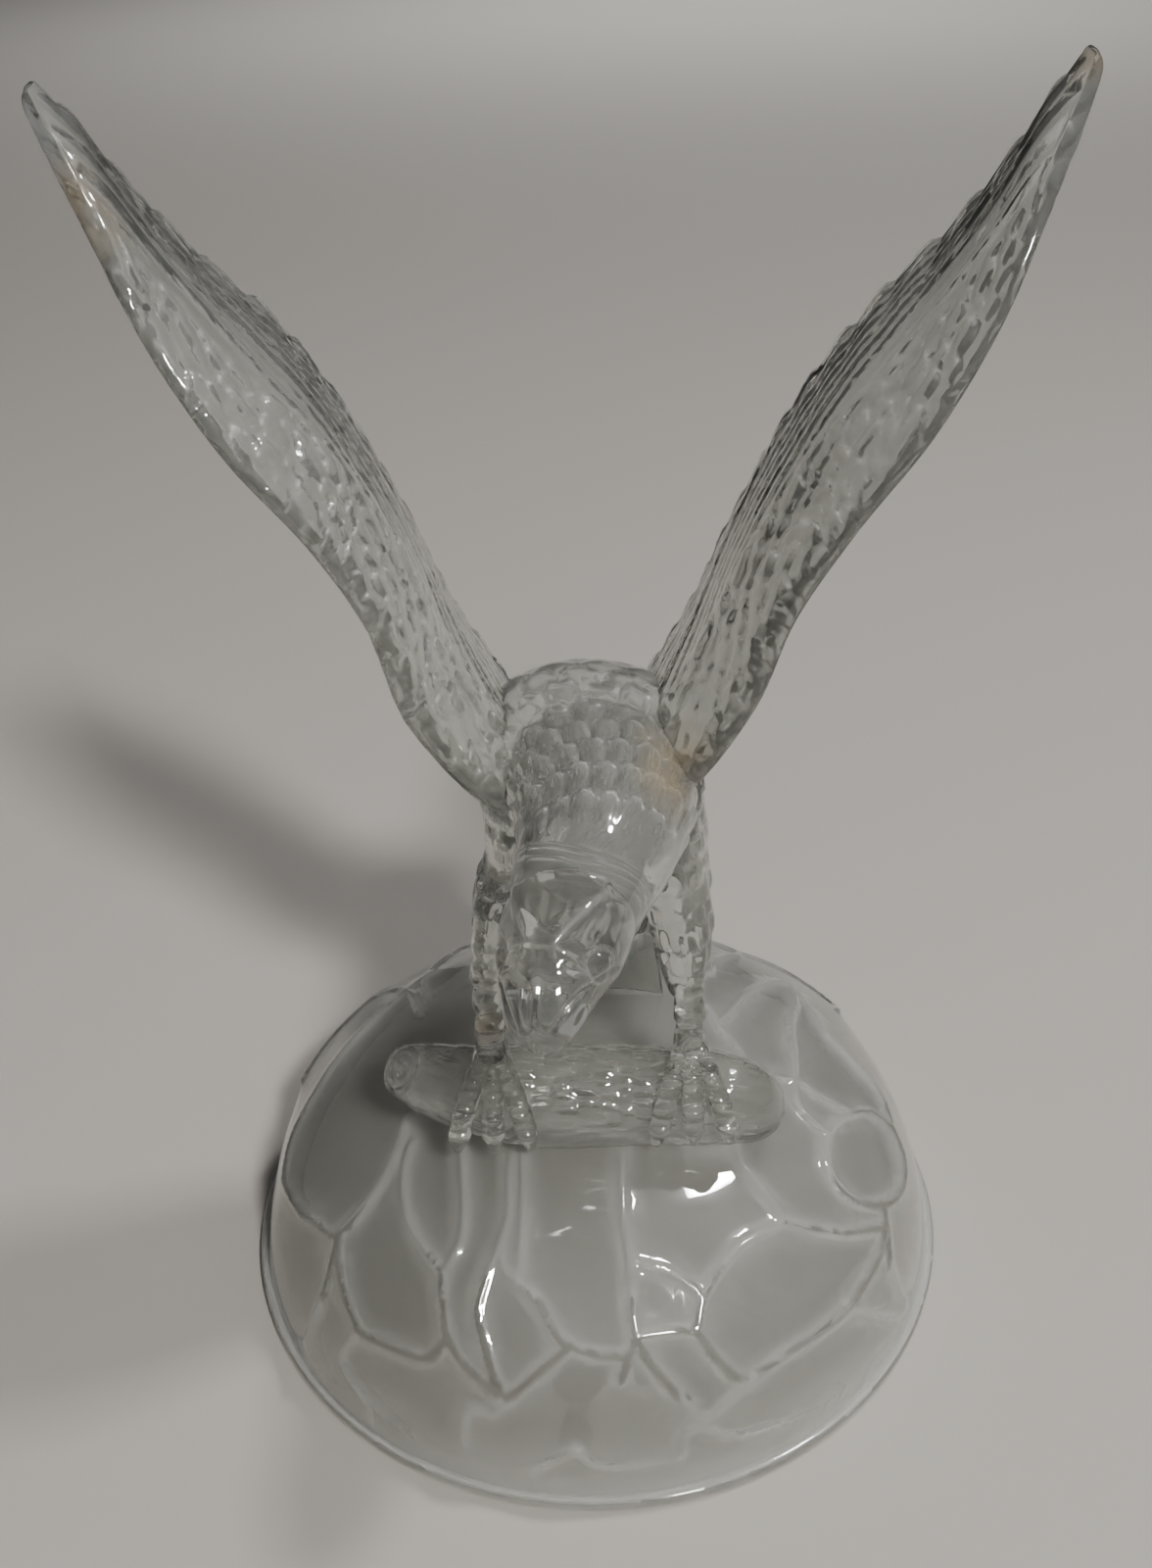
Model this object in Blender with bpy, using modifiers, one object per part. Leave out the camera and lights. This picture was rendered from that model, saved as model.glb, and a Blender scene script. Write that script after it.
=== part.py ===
"""A pressed crystal eagle that lands on a log, cast in one piece with a hollow dome of rock facets.

Metres, +Z up. The origin is the middle of the base on the table, and the eagle faces -Y.
"""

import math
import random

import bmesh
import bpy
from mathutils import Matrix, Vector

# Driving sizes, in metres.
FIGURE_HEIGHT = 0.240
BASE_DIAMETER = 0.152
DOME_CROWN = 0.050
WALL = 0.005
FOOT_HEIGHT = 0.0026
FOOT_LEDGE = 0.0012
LOG_LENGTH = 0.076
LOG_DIAMETER = 0.020
LOG_FORWARD = 0.023
LOG_SINK = 0.0035
STANCE = 0.0385
TOE_DIAMETER = 0.0046
TARSUS_DIAMETER = 0.0056
WING_THICKNESS = 0.0058
WING_TIP_THICKNESS = 0.0026
FEATHER_STEP = 0.0007

# Counts and shape factors, with no unit.
DOME_FULLNESS = 2.45
WING_FEATHERS = 15
STATIONS_A_FEATHER = 3
WING_CAMBER = 0.07
TAIL_FEATHERS = 7
HOLLOW_SIDES = 36
FACET_SEED = 5
CUT_FACING = Vector((-0.62, -0.38, 0.68))
HEAD_AHEAD = Vector((-0.28, -0.945, -0.17))
HEAD_ROLL_DEGREES = 8
TRUNK_ASIDE = 0.5

# What follows from the driving sizes.
BASE_RADIUS = BASE_DIAMETER / 2
DOME_RADIUS = BASE_RADIUS - FOOT_LEDGE
LOG_RADIUS = LOG_DIAMETER / 2
LOG_HEIGHT = DOME_CROWN + LOG_RADIUS - LOG_SINK
PERCH_TOP = LOG_HEIGHT + LOG_RADIUS
EAGLE_HEIGHT = FIGURE_HEIGHT - PERCH_TOP
SHARE = EAGLE_HEIGHT / 100


def spot(x, y, z):
    """A point of the eagle, in hundredths of its height above the top of the log."""
    return Vector((x * SHARE, y * SHARE, PERCH_TOP + z * SHARE))


def clear_scene():
    for obj in list(bpy.data.objects):
        bpy.data.objects.remove(obj, do_unlink=True)


def new_collection(name):
    collection = bpy.data.collections.new(name)
    bpy.context.scene.collection.children.link(collection)
    return collection


def add_object(name, mesh, collection, helper):
    obj = bpy.data.objects.new(name, mesh)
    collection.objects.link(obj)
    if helper:
        obj.hide_render = True
        obj.display_type = "WIRE"
    return obj


def crystal_material():
    material = bpy.data.materials.new("clear_crystal")
    material.use_nodes = True
    shader = material.node_tree.nodes["Principled BSDF"]
    shader.inputs["Base Color"].default_value = (0.93, 0.95, 0.94, 1)
    shader.inputs["Roughness"].default_value = 0.04
    shader.inputs["Metallic"].default_value = 0
    return material


def between(a, b, share):
    return a + (b - a) * share


def smooth_rows(rows, count):
    """Rows of numbers read from a smooth curve through the given rows (Catmull and Rom's)."""
    last = len(rows) - 1
    result = []
    for step in range(count):
        place = last * step / (count - 1)
        start = min(int(place), last - 1)
        t = place - start
        before = rows[max(start - 1, 0)]
        here = rows[start]
        there = rows[start + 1]
        after = rows[min(start + 2, last)]
        row = []
        for p0, p1, p2, p3 in zip(before, here, there, after):
            curve = 2 * p1 + (p2 - p0) * t
            curve += (2 * p0 - 5 * p1 + 4 * p2 - p3) * t**2
            curve += (3 * p1 - p0 - 3 * p2 + p3) * t**3
            row.append(curve / 2)
        result.append(row)
    return result


def loft(name, rings, collection):
    """A closed body through rings of points, each ring with the same count, with flat end faces."""
    shape = bmesh.new()
    made = [[shape.verts.new(point) for point in ring] for ring in rings]
    count = len(rings[0])
    for lower, upper in zip(made, made[1:]):
        for i in range(count):
            j = (i + 1) % count
            shape.faces.new((lower[i], lower[j], upper[j], upper[i]))
    shape.faces.new(list(reversed(made[0])))
    shape.faces.new(made[-1])
    bmesh.ops.triangulate(shape, faces=shape.faces[:])
    bmesh.ops.recalc_face_normals(shape, faces=shape.faces[:])
    mesh = bpy.data.meshes.new(name)
    shape.to_mesh(mesh)
    shape.free()
    return add_object(name, mesh, collection, True)


def oval(centre, side, up, half_side, half_up, count, bump=None):
    """A ring of points on an ellipse; bump gives how far each one stands out."""
    points = []
    for i in range(count):
        angle = 2 * math.pi * i / count
        out = side * math.cos(angle) + up * math.sin(angle)
        point = centre + side * half_side * math.cos(angle) + up * half_up * math.sin(angle)
        points.append(point + out * (bump(i) if bump else 0))
    return points


def scale_bump(row, height):
    """Feather scales as a chequer of raised and sunken points that the rows share."""
    return lambda i: height if (i + row) % 2 else -height


def dome_height(radius, crown, edge):
    """The height of a full, rounded dome at a distance from its axis."""
    share = min(radius / edge, 1)
    return crown * (1 - share**DOME_FULLNESS) ** (1 / DOME_FULLNESS)


def facet_places():
    """The middle of each rock facet, as (azimuth from the front in degrees, share of the radius)."""
    chance = random.Random(FACET_SEED)
    front = (
        (0.975, (-78, -56, -38, -17, 25, 46, 66)),
        (0.895, (-52, -30, 3, 78)),
        (0.79, (-76, -23, -9, 16, 39)),
        (0.60, (-86, -55, -28, -2, 26, 60)),
    )
    places = [(azimuth, share) for share, row in front for azimuth in row]
    back = ((0.975, 9), (0.88, 6), (0.75, 6), (0.56, 4))
    for share, count in back:
        for i in range(count):
            azimuth = 96 + 168 * (i + 0.5) / count + chance.uniform(-5, 5)
            places.append((azimuth, share + chance.uniform(-0.03, 0.03)))
    return places


def facet_plane(azimuth, share):
    """A point and an outward direction of the plane that cuts one facet."""
    radius = DOME_RADIUS * share
    step = DOME_RADIUS / 500
    rise = dome_height(radius - step, DOME_CROWN, DOME_RADIUS)
    rise -= dome_height(radius + step, DOME_CROWN, DOME_RADIUS)
    turn = math.radians(azimuth)
    out = Vector((math.sin(turn), -math.cos(turn), 0))
    normal = (out * rise + Vector((0, 0, 2 * step))).normalized()
    point = out * radius + Vector((0, 0, dome_height(radius, DOME_CROWN, DOME_RADIUS)))
    return point, normal


def rock_dome(collection):
    """The faceted outside of the dome: a cylinder that every facet's plane cuts down."""
    shape = bmesh.new()
    bmesh.ops.create_cone(
        shape,
        cap_ends=True,
        segments=64,
        radius1=DOME_RADIUS,
        radius2=DOME_RADIUS,
        depth=DOME_CROWN,
        matrix=Matrix.Translation((0, 0, DOME_CROWN / 2)),
    )
    for azimuth, share in facet_places():
        point, normal = facet_plane(azimuth, share)
        everything = shape.verts[:] + shape.edges[:] + shape.faces[:]
        cut = bmesh.ops.bisect_plane(
            shape, geom=everything, dist=1e-6, plane_co=point, plane_no=normal, clear_outer=True
        )
        rim = [part for part in cut["geom_cut"] if isinstance(part, bmesh.types.BMEdge)]
        bmesh.ops.contextual_create(shape, geom=rim)
    bmesh.ops.triangulate(shape, faces=shape.faces[:])
    bmesh.ops.recalc_face_normals(shape, faces=shape.faces[:])
    mesh = bpy.data.meshes.new("rock_dome")
    shape.to_mesh(mesh)
    shape.free()
    return add_object("rock_dome", mesh, collection, True)


def foot_ring(collection):
    """The flat ledge that the dome stands on."""
    bpy.ops.mesh.primitive_cylinder_add(
        vertices=64, radius=BASE_RADIUS, depth=FOOT_HEIGHT, location=(0, 0, FOOT_HEIGHT / 2)
    )
    made = bpy.context.object
    mesh = made.data.copy()
    mesh.transform(made.matrix_world)
    bpy.data.objects.remove(made, do_unlink=True)
    return add_object("foot_ring", mesh, collection, True)


def hollow(collection):
    """The space that the plunger leaves under the dome, as a turned profile."""
    radius = DOME_RADIUS - WALL
    crown = DOME_CROWN - WALL
    steps = 9
    profile = [Vector((0, 0, crown))]
    for i in range(1, steps + 1):
        share = math.sin(math.pi / 2 * i / steps)
        profile.append(Vector((radius * share, 0, dome_height(share, crown, 1))))
    profile.append(Vector((radius, 0, -WALL)))
    profile.append(Vector((0, 0, -WALL)))
    mesh = bpy.data.meshes.new("hollow")
    mesh.from_pydata(profile, [(i, i + 1) for i in range(len(profile) - 1)], [])
    cutter = add_object("hollow", mesh, collection, True)
    turn = cutter.modifiers.new("turn", "SCREW")
    turn.steps = HOLLOW_SIDES
    turn.render_steps = HOLLOW_SIDES
    turn.use_merge_vertices = True
    turn.merge_threshold = 0.00002
    return cutter


def log(collection):
    """The perch: a short log along X, cut square at its raised left end and rounded at the right."""
    half = LOG_LENGTH / 2
    # Share of the half length, then rise of the axis and radius as shares of the log's radius.
    rows = (
        (-0.98, 0.85, 0.50),
        (-0.86, 0.62, 0.66),
        (-0.62, 0.26, 0.87),
        (-0.30, 0.05, 1.00),
        (0.00, 0.00, 1.00),
        (0.35, -0.04, 0.97),
        (0.65, -0.14, 0.92),
        (0.86, -0.28, 0.78),
        (0.95, -0.34, 0.56),
        (1.00, -0.38, 0.26),
    )
    square = Vector((-1, 0, 0))
    rings = []
    for number, (share, rise, thick) in enumerate(smooth_rows(rows, 16)):
        centre = Vector((half * share, -LOG_FORWARD, LOG_HEIGHT + rise * LOG_RADIUS))
        radius = LOG_RADIUS * thick
        bark = scale_bump(number, FEATHER_STEP / 3)
        facing = square.lerp(CUT_FACING, max(0, (-share - 0.55) / 0.45)).normalized()
        side = facing.cross(Vector((0, 0, 1))).normalized()
        rings.append(oval(centre, side, side.cross(facing), radius, radius, 14, bark))
    return loft("log", rings, collection)


def toe(name, collection, root_x, tip_x, turn_degrees):
    """One toe and its claw, laid over the log from the top towards the front, or to the back."""
    radius = TOE_DIAMETER / 2
    steps = 9
    rings = []
    for i in range(steps):
        share = i / (steps - 1)
        angle = math.radians(turn_degrees * share)
        reach = LOG_RADIUS + radius * between(0.7, 0.2, share)
        x = between(root_x, tip_x, math.sin(share * math.pi / 2))
        centre = Vector((x, -LOG_FORWARD - reach * math.sin(angle), LOG_HEIGHT + reach * math.cos(angle)))
        out = Vector((0, -math.sin(angle), math.cos(angle)))
        scute = 1.0 if i % 2 else 0.88
        thick = radius * scute * (1 if i < steps - 3 else (0.85, 0.6, 0.22)[i - steps + 3])
        rings.append(oval(centre, Vector((1, 0, 0)), out, thick, thick, 7))
    return loft(name, rings, collection)


def leg(name, collection, side, thigh_end):
    """A feathered thigh that narrows to a scaly tarsus and its ankle on the log."""
    ankle = Vector((side * STANCE / 2, -LOG_FORWARD, PERCH_TOP))
    tarsus = TARSUS_DIAMETER / 2
    # Height in the eagle's shares, x and y of the axis, half width and half depth.
    hip = spot(side * 8.0 + 1.0, 0.5, 28)
    thigh = spot(side * 8.0 + 1.4, -3.5, 22)
    knee = spot(side * 9.6 + 0.9, -7.5, thigh_end + 4)
    cuff = spot(side * 10.4 + 0.2, -10.0, thigh_end)
    rows = [
        (*hip, 4.2 * SHARE, 7.4 * SHARE),
        (*thigh, 4.2 * SHARE, 6.6 * SHARE),
        (*knee, 3.3 * SHARE, 4.4 * SHARE),
        (*cuff, 2.2 * SHARE, 2.6 * SHARE),
        (ankle.x, between(cuff.y, ankle.y, 0.5), between(cuff.z, ankle.z, 0.3), tarsus, tarsus),
        (ankle.x, between(cuff.y, ankle.y, 0.9), between(cuff.z, ankle.z, 0.75), tarsus, tarsus),
        (ankle.x, ankle.y, ankle.z + tarsus * 0.3, tarsus * 1.25, tarsus * 1.3),
        (ankle.x, ankle.y, ankle.z - tarsus * 0.9, tarsus * 1.1, tarsus * 1.1),
    ]
    rings = []
    for number, (x, y, z, wide, deep) in enumerate(smooth_rows(rows, 17)):
        feathered = z > cuff.z
        bump = scale_bump(number, FEATHER_STEP * 0.6) if feathered else None
        ringed = 1.0 if feathered or number % 2 else 0.9
        rings.append(
            oval(
                Vector((x, y, z)),
                Vector((1, 0, 0)),
                Vector((0, 1, 0)),
                wide * ringed,
                deep * ringed,
                10,
                bump,
            )
        )
    return loft(name, rings, collection)


def trunk(collection):
    """The body from the rump on the tail up to the back between the wings."""
    # Height, y of the axis, half width and half depth, in the eagle's shares.
    rows = (
        (-1.5, 10.6, 6.6, 2.6),
        (5.0, 9.6, 7.8, 4.6),
        (11.2, 7.0, 10.0, 8.0),
        (17.0, 4.2, 11.3, 10.4),
        (22.8, 2.4, 11.8, 12.0),
        (28.4, 2.6, 11.8, 12.8),
        (32.6, 4.2, 11.2, 11.2),
        (35.8, 5.4, 9.6, 8.6),
        (37.8, 4.8, 7.2, 5.6),
        (38.8, 4.0, 3.0, 2.4),
    )
    rings = []
    for number, (z, y, wide, deep) in enumerate(smooth_rows(rows, 17)):
        bump = scale_bump(number, FEATHER_STEP * 0.6)
        rings.append(
            oval(
                spot(TRUNK_ASIDE, y, z),
                Vector((1, 0, 0)),
                Vector((0, 1, 0)),
                wide * SHARE,
                deep * SHARE,
                18,
                bump,
            )
        )
    return loft("trunk", rings, collection)


def neck(collection):
    """The outstretched neck, turned to the viewer's left, with its feathers in rows."""
    # x, y and z of the axis, half width and half height, in the eagle's shares.
    rows = (
        (0.8, 3.5, 29.8, 8.6, 7.6),
        (1.6, -3.5, 30.3, 9.8, 8.2),
        (2.1, -8.6, 30.4, 9.6, 8.0),
        (1.3, -14.4, 29.9, 8.4, 7.4),
        (-0.2, -19.4, 28.9, 7.3, 6.7),
        (-1.3, -23.6, 27.9, 6.6, 6.2),
        (-2.0, -26.3, 27.4, 5.2, 5.0),
    )
    rings = []
    samples = smooth_rows(rows, 14)
    for number, (x, y, z, wide, high) in enumerate(samples):
        before = Vector(samples[max(number - 1, 0)][:3])
        after = Vector(samples[min(number + 1, len(samples) - 1)][:3])
        ahead = (after - before).normalized()
        side = ahead.cross(Vector((0, 0, 1))).normalized()
        up = side.cross(ahead)
        bump = scale_bump(number, FEATHER_STEP * 0.45) if number < len(samples) - 2 else None
        rings.append(oval(spot(x, y, z), side, up, wide * SHARE, high * SHARE, 16, bump))
    return loft("neck", rings, collection)


def head_frame():
    """The head's centre and its directions ahead, to its right side and up."""
    ahead = HEAD_AHEAD.normalized()
    level = (Vector((0, 0, 1)) - ahead * ahead.z).normalized()
    roll = math.radians(HEAD_ROLL_DEGREES)
    up = level * math.cos(roll) + ahead.cross(level) * math.sin(roll)
    return spot(-2.4, -27.1, 27.3), ahead, ahead.cross(up), up


def head_place(ahead_share, side_share, up_share):
    centre, ahead, side, up = head_frame()
    return centre + (ahead * ahead_share + side * side_share + up * up_share) * SHARE


def along_head(name, rows, count, samples, collection):
    """A loft whose rings run along the head and tip down by each row's angle."""
    centre, ahead, side, up = head_frame()
    rings = []
    for place, across, rise, wide, high, tip in smooth_rows(rows, samples):
        angle = math.radians(tip)
        lifted = up * math.cos(angle) + ahead * math.sin(angle)
        rings.append(
            oval(head_place(place, across, rise), side, lifted, wide * SHARE, high * SHARE, count)
        )
    return loft(name, rings, collection)


def head(collection):
    """Skull, cere and hooked beak as one loft, then the lower beak, brows and eyes."""
    # Place ahead, across and up, half width, half height, all in shares, then tip in degrees.
    skull = (
        (-5.2, 0, 0.0, 6.3, 6.1, 0),
        (-1.7, 0, 0.2, 6.5, 5.8, 0),
        (1.2, 0, 0.0, 6.2, 5.5, 2),
        (3.5, 0, -0.3, 5.4, 4.9, 5),
        (5.2, 0, -0.7, 4.8, 4.4, 12),
        (6.9, 0, -1.3, 4.3, 3.8, 28),
        (8.4, 0, -2.2, 3.6, 2.9, 50),
        (9.2, 0, -3.3, 2.6, 1.8, 74),
        (9.3, 0, -4.3, 1.4, 0.9, 90),
        (9.2, 0, -4.9, 0.5, 0.35, 100),
    )
    lower = (
        (1.6, 0, -3.7, 3.4, 1.6, 0),
        (4.2, 0, -4.2, 3.0, 1.4, 4),
        (6.0, 0, -4.7, 2.2, 1.0, 8),
        (7.1, 0, -5.1, 0.9, 0.5, 10),
    )
    parts = [
        along_head("skull", skull, 16, 16, collection),
        along_head("lower_beak", lower, 8, 5, collection),
    ]
    for side, word in ((1, "right"), (-1, "left")):
        brow = (
            (-3.6, side * 4.6, 3.6, 0.7, 0.6, 0),
            (-0.6, side * 4.3, 3.8, 1.4, 1.1, 0),
            (2.2, side * 3.3, 3.9, 1.3, 1.0, 0),
            (4.4, side * 2.0, 3.4, 0.5, 0.4, 0),
        )
        eye = (
            (0.9, side * 5.2, 1.0, 0.3, 0.3, 0),
            (1.5, side * 5.2, 1.0, 1.0, 1.0, 0),
            (2.3, side * 4.9, 1.0, 1.3, 1.3, 0),
            (3.1, side * 4.6, 1.0, 1.0, 1.0, 0),
            (3.7, side * 4.4, 1.0, 0.3, 0.3, 0),
        )
        parts.append(along_head(f"{word}_brow", brow, 8, 6, collection))
        parts.append(along_head(f"{word}_eye", eye, 8, 5, collection))
    return parts


def tail(collection):
    """The fanned tail behind the legs, down to the dome, with a ridge for each feather."""
    columns = TAIL_FEATHERS * 2
    foot = (DOME_CROWN - WALL / 2 - PERCH_TOP) / SHARE
    # Height, y, half width and half thickness, in the eagle's shares.
    rows = (
        (14.0, 9.0, 5.0, 2.6),
        (7.0, 10.2, 6.8, 2.2),
        (0.0, 10.6, 8.4, 1.8),
        (foot, 10.4, 9.6, 1.6),
    )
    rings = []
    for z, y, wide, thick in smooth_rows(rows, 7):
        back = []
        front = []
        for i in range(columns + 1):
            across = 2 * i / columns - 1
            half = thick * (1 - 0.5 * across**2) + (FEATHER_STEP / SHARE) * (0.5 if i % 2 else -0.5)
            curl = -1.4 * across**2
            back.append(spot(across * wide, y + curl + half, z))
            front.append(spot(across * wide, y + curl - half, z))
        rings.append(back + list(reversed(front)))
    return loft("tail", rings, collection)


def front_share(rear_share):
    """Where a feather that ends at a share of the rear edge starts on the front edge."""
    swept = max(rear_share - 0.45, 0) / 0.55
    return min(rear_share, 0.45) * 0.92 + 0.586 * swept**1.5


def feather_step(station, column, columns):
    """How far a wing's surface stands out, from -1 to 1: small scales in front, long blades behind."""
    scale = 1 if (station + column) % 2 else -1
    blade = 1 if column % 2 else -1
    flight = min(max(2 * column / columns - 0.6, 0) * 3, 1)
    return between(0.7 * scale, blade, flight)


def wing_rows(edge, side, shares):
    """The points of a wing's edge at the given shares of it, on the side given as 1 or -1."""
    fine = smooth_rows(edge, 200)
    picked = [fine[round(share * (len(fine) - 1))] for share in shares]
    return [spot(side * x + sway, y, z) for x, y, z, sway in picked]


def wing(name, collection, side):
    """A raised wing: sections from the shoulder to the tip, with blades that run along it."""
    # From the root to the tip: x, y and z in the eagle's shares for a wing on the +X side, then how
    # far both wings sway towards +X.
    front_edge = (
        (5.1, -5.2, 26.2, 0.0),
        (11.2, -8.6, 33.0, 0.0),
        (16.8, -12.1, 44.1, 0.0),
        (19.8, -12.7, 53.9, 0.5),
        (24.7, -12.7, 62.5, 0.8),
        (31.3, -12.1, 71.2, 0.7),
        (36.9, -9.2, 79.8, 0.65),
        (40.8, -5.4, 87.3, 0.55),
        (44.8, 0.2, 94.0, 0.4),
        (47.9, 5.0, 99.2, 0.15),
    )
    rear_edge = (
        (4.4, 10.4, 27.4, -0.2),
        (8.7, 14.4, 34.0, -0.2),
        (14.0, 15.6, 43.0, -0.2),
        (18.7, 15.2, 54.6, 0.0),
        (24.0, 14.8, 65.8, 0.3),
        (30.4, 14.0, 75.6, 0.8),
        (37.5, 12.8, 83.4, 0.8),
        (42.1, 10.8, 90.2, 0.6),
        (45.4, 8.6, 96.6, 0.4),
        (47.5, 7.0, 100.0, 0.15),
    )
    stations = WING_FEATHERS * STATIONS_A_FEATHER
    columns = 8
    rear_shares = [number / (stations - 1) for number in range(stations)]
    fronts = wing_rows(front_edge, side, [front_share(share) for share in rear_shares])
    rears = wing_rows(rear_edge, side, rear_shares)
    rings = []
    for number, (front, rear) in enumerate(zip(fronts, rears)):
        after = min(number + 1, stations - 1)
        before = max(number - 1, 0)
        span = (fronts[after] + rears[after] - fronts[before] - rears[before]).normalized()
        chord = rear - front
        inward = span.cross(chord).normalized()
        if inward.x * side > 0:
            inward.negate()
        half = between(WING_THICKNESS, WING_TIP_THICKNESS, rear_shares[number]) / 2
        feather = (number % STATIONS_A_FEATHER) / (STATIONS_A_FEATHER - 1)
        notch = (2 * feather - 1) * FEATHER_STEP
        inner = []
        outer = []
        for i in range(columns + 1):
            across = i / columns
            camber = inward * chord.length * WING_CAMBER * math.sin(math.pi * across)
            middle = front.lerp(rear, across) + camber + chord.normalized() * notch * across**3
            body = half * (1 - 0.55 * across) * min(1, 0.45 + 3 * across)
            raised = FEATHER_STEP * 0.5 * feather_step(number, i, columns)
            raised *= between(1, 0.5, rear_shares[number])
            inner.append(middle + inward * (body + raised))
            outer.append(middle - inward * (body + raised * 0.8))
        rings.append(inner + list(reversed(outer)))
    return loft(name, rings, collection)


def figure_parts(helpers):
    """Every form that the casting joins, each overlapping the one that carries it."""
    parts = [foot_ring(helpers), log(helpers), tail(helpers), trunk(helpers), neck(helpers)]
    parts += head(helpers)
    toe_spread = TOE_DIAMETER * 1.55
    for side, word, thigh_end in ((1, "left", 9.5), (-1, "right", 16.5)):
        ankle_x = side * STANCE / 2
        parts.append(leg(f"{word}_leg", helpers, side, thigh_end))
        parts.append(wing(f"{word}_wing", helpers, side))
        for number, offset in enumerate((-1, 0, 1)):
            tip_x = ankle_x + offset * toe_spread
            parts.append(toe(f"{word}_toe_{number + 1}", helpers, ankle_x + offset * 0.001, tip_x, 118))
        parts.append(toe(f"{word}_hind_toe", helpers, ankle_x, ankle_x, -105))
    return parts


def crystal_eagle(collection, helpers):
    """The whole casting: the dome joined with every form of the eagle, then hollowed from below."""
    dome = rock_dome(helpers)
    eagle = add_object("crystal_eagle", dome.data.copy(), collection, False)
    eagle.data.materials.append(crystal_material())
    for part in figure_parts(helpers):
        join = eagle.modifiers.new(f"join {part.name}", "BOOLEAN")
        join.operation = "UNION"
        join.solver = "EXACT"
        join.object = part
    cut = eagle.modifiers.new("hollow the dome", "BOOLEAN")
    cut.operation = "DIFFERENCE"
    cut.solver = "EXACT"
    cut.object = hollow(helpers)
    return eagle


clear_scene()
crystal_eagle(new_collection("crystal_eagle_figurine"), new_collection("helper_shapes"))
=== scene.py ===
# %% [markdown]
# # A pressed crystal eagle on a rock dome
# The real figurine is one casting of crystal: an eagle lands on a short log, and the log lies on
# a hollow dome of rock facets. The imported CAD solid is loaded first. It gives the box that the
# finished glass has to stay in.

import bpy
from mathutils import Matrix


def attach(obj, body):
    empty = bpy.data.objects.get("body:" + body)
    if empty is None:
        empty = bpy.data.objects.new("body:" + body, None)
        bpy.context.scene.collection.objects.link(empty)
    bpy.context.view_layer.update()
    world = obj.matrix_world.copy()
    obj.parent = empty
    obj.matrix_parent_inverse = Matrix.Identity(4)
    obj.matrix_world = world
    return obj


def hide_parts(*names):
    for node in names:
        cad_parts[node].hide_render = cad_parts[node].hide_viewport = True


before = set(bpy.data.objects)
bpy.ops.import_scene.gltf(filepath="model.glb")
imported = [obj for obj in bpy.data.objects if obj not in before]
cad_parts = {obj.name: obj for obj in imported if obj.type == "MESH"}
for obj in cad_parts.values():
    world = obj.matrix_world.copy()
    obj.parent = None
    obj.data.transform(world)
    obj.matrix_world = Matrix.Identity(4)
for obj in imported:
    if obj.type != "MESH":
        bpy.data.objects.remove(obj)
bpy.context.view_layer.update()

# %%
import math

import bmesh
import bpy
import numpy as np
from mathutils import Matrix, Vector, noise
from mathutils.bvhtree import BVHTree
from mathutils.kdtree import KDTree

# %% [markdown]
# ## Sizes
# The sizes of the casting in metres, the same as in the part's source. The eagle's own points are
# in hundredths of its height above the top of the log, here called its shares.

# %% The casting's sizes
FIGURE_HEIGHT = 0.240
BASE_DIAMETER = 0.152
DOME_CROWN = 0.050
WALL = 0.005
FOOT_HEIGHT = 0.0026
FOOT_LEDGE = 0.0012
LOG_LENGTH = 0.076
LOG_DIAMETER = 0.020
LOG_FORWARD = 0.023
LOG_SINK = 0.0035
STANCE = 0.0385
TOE_DIAMETER = 0.0046
TARSUS_DIAMETER = 0.0056
WING_THICKNESS = 0.0058
WING_TIP_THICKNESS = 0.0026
WING_CAMBER = 0.07
DOME_FULLNESS = 2.45

DOME_RADIUS = BASE_DIAMETER / 2 - FOOT_LEDGE
LOG_RADIUS = LOG_DIAMETER / 2
LOG_HEIGHT = DOME_CROWN + LOG_RADIUS - LOG_SINK
PERCH_TOP = LOG_HEIGHT + LOG_RADIUS
SHARE = (FIGURE_HEIGHT - PERCH_TOP) / 100
print("eagle height above the log, mm:", round(SHARE * 1e5, 1))

X_AXIS, Y_AXIS, Z_AXIS = np.eye(3)


# %%
def spots(rows):
    """Points of the eagle in metres, from rows of x, y and z in its shares."""
    rows = np.asarray(rows, float)
    return rows * SHARE + np.array((0, 0, PERCH_TOP))


def unit(vectors):
    return vectors / np.linalg.norm(vectors, axis=-1, keepdims=True)


def clamp(values):
    return np.clip(values, 0, 1)


# %% [markdown]
# ## Smooth rows
# Each form is a loft: a few rows of numbers say where its sections lie and how wide they are, and
# a smooth curve through those rows (Catmull and Rom's) gives as many sections as the relief needs,
# about ten times as many as the CAD solid has.

# %% Read smooth rows
def smooth_rows(rows, places):
    rows = np.asarray(rows, float)
    last = len(rows) - 1
    at = clamp(places) * last
    start = np.minimum(at.astype(int), last - 1)
    t = (at - start)[:, None]
    before = rows[np.maximum(start - 1, 0)]
    here = rows[start]
    there = rows[start + 1]
    after = rows[np.minimum(start + 2, last)]
    curve = 2 * here + (there - before) * t + (2 * before - 5 * here + 4 * there - after) * t**2
    curve += (3 * here - before - 3 * there + after) * t**3
    return curve / 2


def sampled(rows, samples):
    return smooth_rows(rows, np.linspace(0, 1, samples))


def run_length(points):
    """How far along a line of points each one lies, in metres."""
    steps = np.linalg.norm(np.diff(points, axis=0), axis=1)
    return np.concatenate(([0], np.cumsum(steps)))


def turns(count, first=0):
    """Even angles round a ring."""
    return 2 * math.pi * (np.arange(count) + first) / count


# %% Skin a loft
def quads_round(rows, count):
    """The faces between a loft's rings, each one as the numbers of its four points."""
    first = np.arange(rows - 1)[:, None] * count
    here, beside = first + np.arange(count), first + (np.arange(count) + 1) % count
    return np.stack([here, beside, beside + count, here + count], -1).reshape(-1, 4)


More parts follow.
